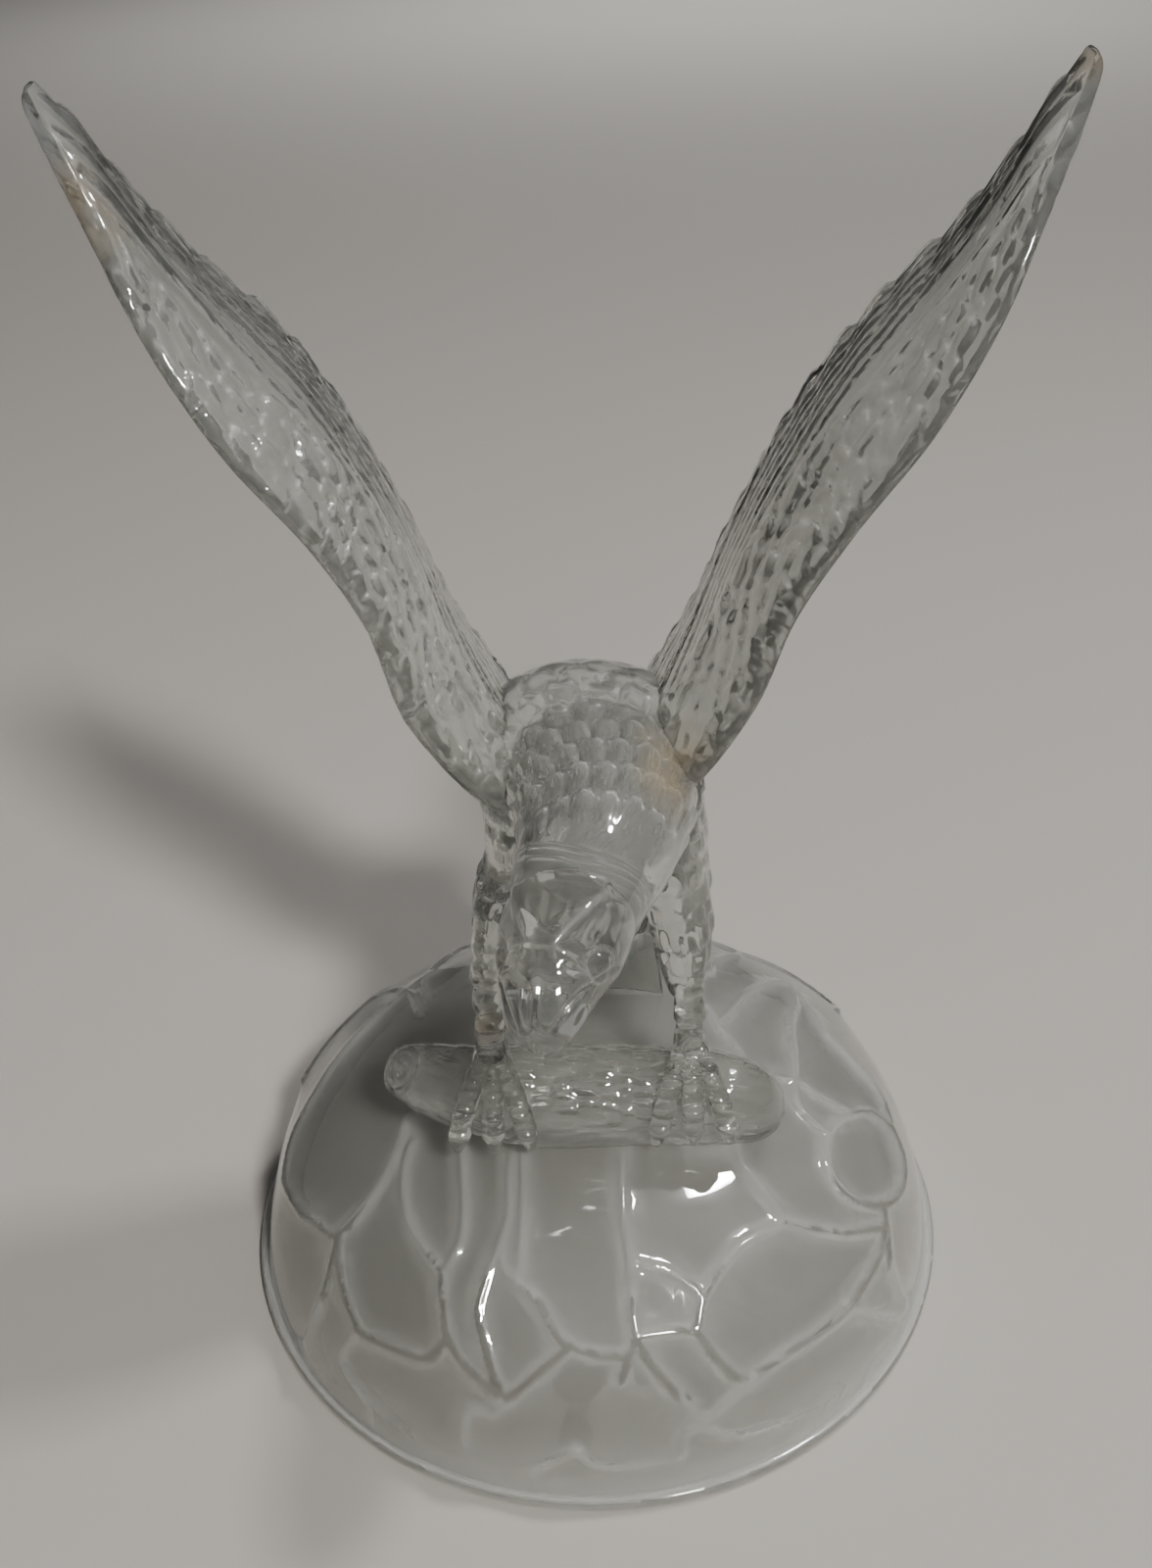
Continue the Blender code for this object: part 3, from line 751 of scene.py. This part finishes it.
# %% A toe
def toe(name, root_x, tip_x, turn_degrees):
    radius = TOE_DIAMETER / 2
    share = np.linspace(0, 1, 56)
    angle = np.radians(turn_degrees * share)
    reach = LOG_RADIUS + radius * (0.7 - 0.5 * share)
    x = root_x + (tip_x - root_x) * np.sin(share * math.pi / 2)
    out = np.stack([0 * angle, -np.sin(angle), np.cos(angle)], 1)
    centres = np.stack([x, 0 * x - LOG_FORWARD, 0 * x + LOG_HEIGHT], 1) + out * reach[:, None]
    claw = np.interp(share, (0, 0.72, 0.8, 0.9, 1), (0.95, 0.95, 0.72, 0.5, 0.12)) * radius
    rings, angles = ovals(centres, X_AXIS, out, claw, claw, 20)
    along = run_length(centres)[:, None] / TOE_SHIELD[0]
    shield = clamp(np.sin(angles))[None] * (share < 0.74)[:, None]
    tags = {"along": along, "around": 0.5, "height": TOE_SHIELD[1] * shield, "blade": 0}
    look = {"Overlap": 0.1, "Quill": 0.0, "Wander": 0.0, "Roundness": 1.0, "Milk": 0.2}
    return feather(skin(name, rings, tags), 0.6, **look)


# %% [markdown]
# ## Log and tail
# The log has fine bark in short lengthwise dashes, a cut face with a raised rim at its left end
# and a rounded right end. The tail is a fan of long feathers that stands on the dome.

# %% The log
CUT_RELIEF = 0.0005
BARK_LENGTH = 0.0042
BARK_HEIGHT = 0.0002
BARK_AROUND = 28


def log():
    # Share of the half length, then rise of the axis and radius as shares of the log's radius.
    rows = (
        (-0.98, 0.85, 0.50),
        (-0.86, 0.62, 0.66),
        (-0.62, 0.26, 0.87),
        (-0.30, 0.05, 1.00),
        (0.00, 0.00, 1.00),
        (0.35, -0.04, 0.97),
        (0.65, -0.14, 0.92),
        (0.86, -0.28, 0.78),
        (0.95, -0.34, 0.56),
        (1.00, -0.38, 0.26),
    )
    share, rise, thick = sampled(rows, 120).T
    turn = clamp((-share - 0.55) / 0.45)[:, None]
    facing = unit(np.array((-1.0, 0, 0)) * (1 - turn) + np.array((-0.62, -0.38, 0.68)) * turn)
    sides = unit(np.cross(facing, Z_AXIS))
    ups = np.cross(sides, facing)
    x, z = share * LOG_LENGTH / 2, LOG_HEIGHT + rise * LOG_RADIUS
    centres = np.stack([x, 0 * x - LOG_FORWARD, z], 1)
    thick = thick * LOG_RADIUS
    rings, angles = ovals(centres, sides, ups, thick, thick, 120)
    inner = np.linspace(0.06, 0.96, 14)[:, None, None]
    wave = CUT_RELIEF * (np.cos(math.pi * 5 * inner) - 1) / 2
    cut = centres[0] + (rings[0] - centres[0]) * inner + facing[0] * wave
    rings = np.concatenate([cut, rings])
    share = np.concatenate([np.full(len(cut), share[0]), share])
    bark = clamp((share + 0.97) / 0.06) * clamp((0.97 - share) / 0.15)
    dashes = bump(angles[None] - 2.3, 0.7) * bump(share[:, None] - 0.05, 0.5)
    tags = {
        "along": (share * LOG_LENGTH / 2 / BARK_LENGTH + 20)[:, None],
        "around": angles[None] / (2 * math.pi) * BARK_AROUND,
        "height": BARK_HEIGHT * bark[:, None] * (1 + 4 * dashes),
        "blade": 0,
    }
    made = skin("log", rings, tags)
    look = {"Unevenness": 1.4, "Quill": 0.0, "Overlap": 0.1, "Roundness": 1.0}
    return feather(made, 0.55, Wander=0.6, Milk=0.22, **look)


# %% The tail
def tail():
    foot = (DOME_CROWN - WALL / 2 - PERCH_TOP) / SHARE
    # Height, y, half width and half thickness, in shares.
    rows = (
        (14.0, 9.0, 5.0, 2.6),
        (7.0, 10.2, 6.8, 2.2),
        (0.0, 10.6, 8.4, 1.8),
        (foot, 10.4, 9.6, 1.6),
    )
    z, y, wide, thick = sampled(rows, 50).T
    across = np.linspace(-1, 1, 61)[None]
    half = thick[:, None] * (1 - 0.5 * across**2)
    curl = -1.4 * across**2

    def face(sign):
        flat = np.broadcast_to(z[:, None], half.shape)
        return spots(np.stack([across * wide[:, None], y[:, None] + curl + sign * half, flat], -1))

    rings = np.concatenate([face(1), face(-1)[:, ::-1]], 1)
    lines = np.abs(across) * 3.5 + 0.5
    lines = np.concatenate([lines, lines[:, ::-1]], 1)
    height = np.repeat((0.0003, 0.0), across.size)[None]
    made = skin("tail", rings, {"lines": lines, "height": height, "blade": 1})
    return feather(made, 0.5, Ripple=0.0, Milk=0.3)


# %% [markdown]
# ## Dome
# Soft ridges part the dome into rock facets. Their corners are turns from the front and climbs
# from the foot, in degrees, and the same net serves the back. A dense grid of rays leaves the
# middle of the foot. The ridges hold their height, and the points between them are drawn flat
# like a stretched skin. A turned profile is the plunger's hollow.

# %% The net of ridges
RIDGES = (
    ((-27, 58), (-20, 48), (-17, 41), (-16, 36)),
    ((-29, 55), (-22, 45), (-21, 38), (-12, 33), (-7, 28), (-5, 27), (-1, 26), (4, 25), (3, 22)),
    ((10, 58), (7, 47), (7, 39), (6, 32), (6, 28), (4, 25)),
    ((6, 28), (11, 28), (16, 27), (19, 22), (23, 17)),
    ((16, 27), (17, 28), (19, 31), (24, 34), (31, 36), (41, 36), (42, 41), (43, 47), (47, 51)),
    ((8, 38), (14, 36), (18, 33), (19, 31)),
    ((41, 36), (43, 34), (51, 28), (60, 23)),
    ((64, 38), (59, 36), (57, 32), (59, 28), (64, 24), (71, 22), (77, 23), (81, 26)),
    ((81, 26), (81, 31), (77, 35), (71, 38), (64, 38)),
    ((63, 25), (60, 23), (54, 21), (48, 20), (44, 19), (37, 19), (30, 19), (24, 18), (15, 14)),
    ((61, 23), (57, 19), (56, 13), (57, 8), (49, 14), (44, 19)),
    ((6, 28), (8, 24), (11, 20), (14, 16), (15, 14), (12, 13), (11, 9), (6, 8), (-1, 9), (-4, 12)),
    ((15, 13), (20, 10), (25, 9), (32, 7), (39, 6)),
    ((-5, 27), (-10, 23), (-13, 20), (-15, 18), (-18, 20), (-22, 22), (-26, 25), (-28, 28),
     (-31, 33)),
    ((-15, 18), (-17, 16), (-20, 16), (-21, 12), (-20, 5)),
    ((-31, 33), (-30, 38), (-34, 44), (-45, 52)),
    ((-31, 33), (-37, 35), (-43, 37), (-51, 41), (-58, 46)),
    ((-26, 25), (-28, 21), (-34, 20), (-41, 19), (-43, 17), (-44, 13), (-40, 10), (-34, 6),
     (-23, 4)),
    ((-67, 48), (-60, 44), (-56, 40), (-54, 35), (-55, 28), (-61, 26), (-67, 24), (-77, 22)),
    ((-77, 22), (-85, 25), (-93, 30), (-103, 34), (-115, 38), (-135, 40)),
    ((-55, 28), (-50, 24), (-45, 21), (-41, 19)),
    ((-55, 28), (-52, 22), (-52, 14), (-53, 7), (-49, 5), (-43, 3), (-36, 1)),
    ((-21, 38), (-22, 36), (-22, 30), (-19, 25), (-15, 18)),
    ((-4, 12), (-10, 8), (-16, 4)),
    ((116, 60), (99, 60), (81, 56), (76, 55), (77, 50), (79, 46), (77, 41), (77, 35)),
    ((104, 59), (119, 48), (122, 36), (104, 44), (91, 46), (79, 46), (70, 44), (67, 38)),
    ((122, 36), (103, 37), (94, 33), (88, 28), (81, 26)),
)
MOULD_SEAMS = (
    ((-54, 27), (-52, 21), (-52, 14), (-53, 6), (-55, 1)),
    ((43, 22), (45, 18), (46, 14), (46, 7), (48, 1)),
)
RIDGE_RISE = 0.0007
BEAD = 0.0008
BEAD_WIDTH = 0.0009
GROOVE_AWAY = 0.0027
PIN_REACH = 0.0008
CAP_CLIMB = 1.15
FLATTENING_ROUNDS = 500
SEAM_BEAD = 0.0003
SEAM_WIDTH = 0.0006
# How far the painted highlight line on a ridge and the painted glow beside it reach, and how
# strong they are.
RIDGE_LINE, RIDGE_HIGHLIGHT = 0.0008, 0.85
GLOW_REACH, GLOW_PAINTED_LIGHT = 0.0026, 0.42
# How strongly the dome is painted lighter towards its foot, a painted light.
FOOT_PAINTED_LIGHT = 0.7
DOME_MILK = 0.15


def back_of(lines, widest=80):
    """The same lines mirrored to the back, without those that the front's own reach round to."""
    kept = [line for line in lines if all(abs(turn) < widest for turn, _ in line)]
    return [[(180 - turn, climb) for turn, climb in line] for line in kept]


# %% Places on the smooth dome
def dome_height(radius, crown, edge):
    share = np.minimum(radius / edge, 1)
    return crown * (1 - share**DOME_FULLNESS) ** (1 / DOME_FULLNESS)


def on_smooth_dome(turn, climb):
    """Rays at these angles in radians, and how far along each one the smooth dome lies."""
    level = np.cos(climb)
    rays = np.stack([np.sin(turn) * level, -np.cos(turn) * level, np.sin(climb)], -1)
    wide = (level / DOME_RADIUS) ** DOME_FULLNESS
    high = (np.sin(climb) / DOME_CROWN) ** DOME_FULLNESS
    return rays, (wide + high) ** (-1 / DOME_FULLNESS)


def tree_along(lines, steps=24):
    """A search tree of closely spaced points along lines on the dome."""
    spread = []
    for line in lines:
        turn, climb = np.radians(sampled(line, steps * (len(line) - 1))).T
        rays, reach = on_smooth_dome(turn, np.maximum(climb, 0))
        spread.extend((rays * (reach + RIDGE_RISE)[:, None]).tolist())
    tree = KDTree(len(spread))
    for i, point in enumerate(spread):
        tree.insert(point, i)
    tree.balance()
    return tree


def away_from(tree, points):
    """How far each point lies from the lines that a tree holds."""
    away = [tree.find(point)[2] for point in points.reshape(-1, 3).tolist()]
    return np.reshape(away, points.shape[:-1])


RIDGE_TREE = tree_along([*RIDGES, *back_of(RIDGES)])
SEAM_TREE = tree_along(MOULD_SEAMS)


# %% The dome
def drawn_flat(points, pinned, rounds):
    """Draws the free points of a grid to the middle of their neighbours."""
    beside = np.linalg.norm(points[1:-1, 1] - points[1:-1, 0], axis=1)[:, None, None] ** -2
    above = np.linalg.norm(points[2:, 0] - points[1:-1, 0], axis=1)[:, None, None] ** -2
    free = ~pinned[1:-1, :, None]
    for _ in range(rounds):
        middle = (np.roll(points, 1, 1) + np.roll(points, -1, 1))[1:-1] * beside
        middle += (points[:-2] + points[2:]) * above
        middle /= 2 * (beside + above)
        points[1:-1] += (middle - points[1:-1]) * free
    return points


def dome():
    around, rows = 600, 170
    turn = turns(around)
    climb = np.radians(np.linspace(0, 89.2, rows))[:, None]
    rays, reach = on_smooth_dome(turn + 0 * climb, climb + 0 * turn)
    high = reach + RIDGE_RISE * clamp(climb / 0.05)
    points = rays * high[..., None]
    away = away_from(RIDGE_TREE, points)
    pinned = (away < PIN_REACH) | (climb > CAP_CLIMB)
    smooth = points.copy()
    points = drawn_flat(points, pinned, FLATTENING_ROUNDS)
    points = drawn_flat(points, np.zeros_like(pinned), 3)
    points += (smooth - points) * np.clip(-np.cos(turn), 0, 0.5)[None, :, None]
    away = away_from(RIDGE_TREE, points)
    bead = BEAD * bump(away, BEAD_WIDTH) - 0.3 * BEAD * bump(away - GROOVE_AWAY, BEAD_WIDTH)
    bead = np.maximum(bead, SEAM_BEAD * bump(away_from(SEAM_TREE, points), SEAM_WIDTH))
    points = points + rays * (bead * clamp(climb / 0.03))[..., None]
    from_axis = np.hypot(points[..., 0], points[..., 1])
    points[..., :2] *= np.minimum(1, DOME_RADIUS / from_axis)[..., None]
    return thinned(skin("dome", points), 0.15)


# %% Turned forms
def turned(name, profile, count):
    """A closed turned form from rows of radius and height."""
    radius, height = np.array(profile, float).T[..., None, None]
    angles = turns(count)
    around = np.stack([np.cos(angles), np.sin(angles), 0 * angles], 1)
    return skin(name, radius * around + height * Z_AXIS)


def foot_ring():
    radius = BASE_DIAMETER / 2
    soft = 0.0005
    rows = [(radius - 0.03, 0), (radius - soft, 0), (radius, soft), (radius, FOOT_HEIGHT - soft)]
    rows += [(radius - soft, FOOT_HEIGHT), (radius - 0.03, FOOT_HEIGHT)]
    return turned("foot_ring", rows, 160)


def hollow():
    radius = DOME_RADIUS - WALL
    crown = DOME_CROWN - WALL
    share = np.sin(np.linspace(0.01, math.pi / 2, 34))
    rows = [(radius * s, dome_height(s, crown, 1)) for s in share]
    return turned("hollow", rows + [(radius, -WALL)], 128)


# %% [markdown]
# ## One casting
# The forms overlap, and glass would show every hidden face inside, so Boolean modifiers join them
# to one skin and then take the hollow away. The Manifold solver is quick even on fine meshes.

# %% Make the forms
forms = [foot_ring(), log(), tail(), body(), *head()]
for side, word, thigh_end in ((1, "left", 9.5), (-1, "right", 16.5)):
    ankle_x = side * STANCE / 2
    forms.append(leg(f"{word}_leg", side, thigh_end))
    forms.append(wing(f"{word}_wing", side))
    for number, offset in enumerate((-1, 0, 1)):
        tip_x = ankle_x + offset * TOE_DIAMETER * 1.55
        forms.append(toe(f"{word}_toe_{number + 1}", ankle_x + offset * 0.001, tip_x, 118))
    forms.append(toe(f"{word}_hind_toe", ankle_x, ankle_x, -105))

# %% Join them
eagle = dome()
eagle.name = "eagle_casting"


def boolean(operation, other):
    join = eagle.modifiers.new(other.name, "BOOLEAN")
    join.operation = operation
    join.solver = "MANIFOLD"
    join.object = other


for form in forms:
    boolean("UNION", form)
plunger = hollow()
boolean("DIFFERENCE", plunger)
casting = settled(eagle)
for form in (*forms, plunger):
    bpy.data.objects.remove(form, do_unlink=True)
casting.calc_loop_triangles()
print("joined:", len(casting.loop_triangles), "triangles")

# %% Keep one shell
def only_largest_shell(mesh):
    """Drops the loose specks, and returns how many points went."""
    shape = bmesh.new()
    shape.from_mesh(mesh)
    waiting = set(shape.verts)
    shells = []
    while waiting:
        shell = [waiting.pop()]
        for point in shell:
            for edge in point.link_edges:
                other = edge.other_vert(point)
                if other in waiting:
                    waiting.remove(other)
                    shell.append(other)
        shells.append(shell)
    shells.sort(key=len)
    loose = [point for shell in shells[:-1] for point in shell]
    bmesh.ops.delete(shape, geom=loose, context="VERTS")
    shape.to_mesh(mesh)
    shape.free()
    return len(loose)


print("loose points taken out:", only_largest_shell(casting))
casting.calc_loop_triangles()
print("casting:", len(casting.vertices), "points,", len(casting.loop_triangles), "triangles")

# %% Clear and frosted faces
casting.materials.clear()
casting.materials.append(clear_crystal)
casting.materials.append(frosted_crystal)
centres = np.zeros((len(casting.polygons), 3))
casting.polygons.foreach_get("center", centres.ravel())
distance, height = np.hypot(centres[:, 0], centres[:, 1]), centres[:, 2]
ceiling = dome_height(distance, DOME_CROWN - WALL, DOME_RADIUS - WALL)
inside = (distance < DOME_RADIUS - WALL + 1e-5) & (height < ceiling + 0.0004)
inside |= height < 0.0001
print("frosted faces:", int(inside.sum()))
casting.polygons.foreach_set("material_index", inside.astype(np.int32))
casting.shade_smooth()
casting.set_sharp_from_angle(angle=math.radians(60))
casting.name = "eagle_casting"
points = np.zeros((len(casting.vertices), 3))
casting.vertices.foreach_get("co", points.ravel())

# %% Painted light and milk
radius, height = np.hypot(points[:, 0], points[:, 1]), points[:, 2]
over = height - dome_height(radius, DOME_CROWN, DOME_RADIUS)
on_dome = (over < 0.0016) & (over > -0.0045) & (height > 0.0008)
on_dome |= (radius > DOME_RADIUS - 0.004) & (height > FOOT_HEIGHT) & (height < 0.03)
from_ridge = away_from(RIDGE_TREE, points)
# Painted highlight: a light line along each ridge and mould seam.
ridge = bump(from_ridge, RIDGE_LINE) * on_dome
seam = bump(away_from(SEAM_TREE, points), SEAM_WIDTH) * on_dome
ridge = np.maximum(ridge, 0.8 * seam)
painted_light, milk = np.zeros(len(points)), np.zeros(len(points))
for name, values in (("painted_light", painted_light), ("milk", milk)):
    casting.attributes[name].data.foreach_get("value", values)
print("painted_highlight points on feathers and ridges:", int((painted_light > 0.3).sum()), int((ridge > 0.3).sum()))
# Painted light: the dome's skin turns lighter towards the foot.
foot = clamp((0.02 - height) / 0.018) * on_dome
painted_light = np.maximum(painted_light * 0.8, np.maximum(ridge * RIDGE_HIGHLIGHT, foot * FOOT_PAINTED_LIGHT))
# Painted glow: a wider light band beside each ridge.
painted_glow = bump(from_ridge, GLOW_REACH) * on_dome
store(casting, "painted_light", np.maximum(painted_light, painted_glow * GLOW_PAINTED_LIGHT))
store(casting, "milk", np.maximum(milk, DOME_MILK * on_dome))

# %% [markdown]
# ## Stains
# The photograph shows a few tan stains and one dark speck. They stay on the glass.

# %% Stains
# The middle and the reach of each stain, in metres. The speck is in the left-hand wing.
STAINS = (
    ((0.017, -0.0125, 0.128), 0.01),
    ((0.0147, -0.0214, 0.1283), 0.008),
    ((-0.0765, -0.006, 0.224), 0.012),
    ((0.0825, 0.009, 0.2385), 0.006),
    ((-0.021, -0.024, 0.077), 0.005),
)
SPECK = (-0.064, -0.0116, 0.2109)
SPECK_SIZE = 0.0007
stain = np.zeros(len(points))
for centre, reach in STAINS:
    away = np.linalg.norm(points - centre, axis=1) / reach
    for i in np.nonzero(away < 1)[0]:
        blotch = 0.8 + 1.2 * noise.noise(points[i] * 220)
        stain[i] += (1 - away[i]) * min(max(blotch, 0), 1)
store(casting, "stain", stain)
print("stained points:", int((stain > 0.1).sum()))

# %% [markdown]
# ## Clear crystal
# The glass is see-through with a faint grey-green tint. Its polished skin is not quite even, so a
# soft bump bends what shows through it. A grey milky skim is mixed in, and on ridges, scale edges
# and head lines it turns near white as a painted highlight.

# %% Clear crystal
GLASS_IOR = 1.52
CLEAR = (0.9, 0.912, 0.88, 1)
MILKY = (0.36, 0.365, 0.34, 1)
# The near-white skim colour of the painted highlights.
HIGHLIGHT_WHITE = (0.9, 0.91, 0.89, 1)
FROSTED = (0.78, 0.765, 0.735, 1)
TAN = (0.64, 0.54, 0.4, 1)
DARK = (0.02, 0.02, 0.02, 1)
PALE = (0.4, 0.383, 0.357, 1)


def shader_of(material, values):
    """A material's node tree and its shader, with plain values set."""
    material.use_nodes = True
    tree = material.node_tree
    shader = tree.nodes["Principled BSDF"]
    for entry, value in values.items():
        feed(tree, shader.inputs[entry], value)
    return tree, shader


polish = {"Transmission Weight": 1, "IOR": GLASS_IOR, "Coat Weight": 0.8, "Coat Roughness": 0.02}
tree, shader = shader_of(clear_crystal, polish)
place = field_of(tree, "ShaderNodeTexCoord", output="Object")
swell = {"Vector": place, "Scale": 160, "Detail": 0}
relief = {"Strength": 0.2, "Distance": 0.0003}
relief["Height"] = field_of(tree, "ShaderNodeTexNoise", values=swell)
feed(tree, shader.inputs["Normal"], field_of(tree, "ShaderNodeBump", values=relief))


def stored(name):
    """A number that the mesh carries at its points, for the shader."""
    settings = {"attribute_name": name}
    return field_of(tree, "ShaderNodeAttribute", settings, output="Fac").clamp()


def blend(low, high, share):
    """A colour between two others."""
    values = {"Factor": share, "A": low, "B": high}
    return field_of(tree, "ShaderNodeMix", {"data_type": "RGBA"}, values, "Result")


painted_light, milk, stain = stored("painted_light"), stored("milk"), stored("stain")
values = {0: place, 1: SPECK}
away = field_of(tree, "ShaderNodeVectorMath", {"operation": "DISTANCE"}, values, "Value")
glass = blend(blend(CLEAR, TAN, stain), DARK, away < SPECK_SIZE)
feed(tree, shader.inputs["Base Color"], glass)
feed(tree, shader.inputs["Roughness"], milk * 0.12 + 0.012)
skim = {"Roughness": 0.12, "IOR": GLASS_IOR}
# Where the painted light attribute is high, the skim turns near white: a painted highlight.
skim["Base Color"] = blend(blend(MILKY, HIGHLIGHT_WHITE, painted_light), TAN, stain)
values = {
    0: (milk * 0.8 + painted_light * 0.3).clamp(),
    1: Field(tree, shader.outputs[0]),
    2: field_of(tree, "ShaderNodeBsdfPrincipled", values=skim),
}
both = field_of(tree, "ShaderNodeMixShader", values=values)
feed(tree, tree.nodes["Material Output"].inputs[0], both)

# %% Frosted crystal
frost = {"Transmission Weight": 0.6, "IOR": GLASS_IOR, "Base Color": FROSTED, "Roughness": 0.55}
shader_of(frosted_crystal, frost)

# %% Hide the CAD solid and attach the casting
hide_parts("crystal_eagle")
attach(eagle, "root")

# %% [markdown]
# ## Floor, light and camera
# A plain pale floor in soft light, and a camera that looks down as the photograph does.

# %% Floor
place = (0, 0, -0.0002)
bpy.ops.mesh.primitive_circle_add(vertices=96, radius=7, fill_type="NGON", location=place)
floor = bpy.context.object
floor.name = "floor"
cloth = bpy.data.materials.new("pale_floor")
shader_of(cloth, {"Base Color": PALE, "Roughness": 0.9})
floor.data.materials.append(cloth)


# %% Lights
def lamp(name, place, target, size, watts, colour=(1, 1, 1)):
    data = bpy.data.lights.new(name, "AREA")
    data.shape = "SQUARE"
    data.size = size
    data.energy = watts
    data.color = colour
    made = added(name, data)
    made.location = place
    made.rotation_euler = (Vector(target) - Vector(place)).to_track_quat("-Z", "Y").to_euler()
    return made


lamp("key", (0.6, -1.3, 1.5), (0, 0.1, 0.1), 0.24, 36, (1, 0.98, 0.95))
lamp("glint", (0.476, 0.169, 1.244), (0, 0, 0.06), 0.13, 6)
# This one lights the far floor only: it shines straight down in a narrow beam.
lamp("far_floor", (0.3, 2.4, 1.7), (0.3, 2.4, 0), 1.4, 11).data.spread = math.radians(95)
bpy.context.scene.view_settings.look = "AgX - Medium High Contrast"
world = bpy.data.worlds.new("studio")
bpy.context.scene.world = world
world.use_nodes = True
tree = world.node_tree
sky = {0: field_of(tree, "ShaderNodeTexCoord", output="Generated")}
split = add_node(tree, "ShaderNodeSeparateXYZ", values=sky)
ramp = add_node(tree, "ShaderNodeValToRGB")
stops = ramp.color_ramp.elements
for place, grey in ((0.1, 0.06), (0.35, 0.12), (0.6, 0.2), (0.9, 0.3)):
    stops.new(place).color = (grey, grey, grey * 1.03, 1)
stops.remove(stops[0])
stops.remove(stops[-1])
backdrop = tree.nodes["Background"]
tree.links.new(split.outputs["Z"], ramp.inputs[0])
tree.links.new(ramp.outputs[0], backdrop.inputs[0])
to_right = (Field(tree, split.outputs["X"]) * 1.2 + 0.5).clamp()
feed(tree, backdrop.inputs[1], to_right * 0.65 + 0.4)

# %% Camera
CAMERA_PLACE = (0, -0.2525, 0.2759)
LOOKS_DOWN = 32.46
camera_data = bpy.data.cameras.new("camera")
camera_data.lens = 36
camera_data.sensor_width = 36
camera_data.clip_start = 0.01
camera = added("camera", camera_data)
camera.location = CAMERA_PLACE
look = Matrix.Identity(3)
for degrees, axis in ((0.27, "Z"), (90 - LOOKS_DOWN, "X"), (-2, "Z")):
    look = look @ Matrix.Rotation(math.radians(degrees), 3, axis)
camera.rotation_euler = look.to_euler()
bpy.context.scene.camera = camera
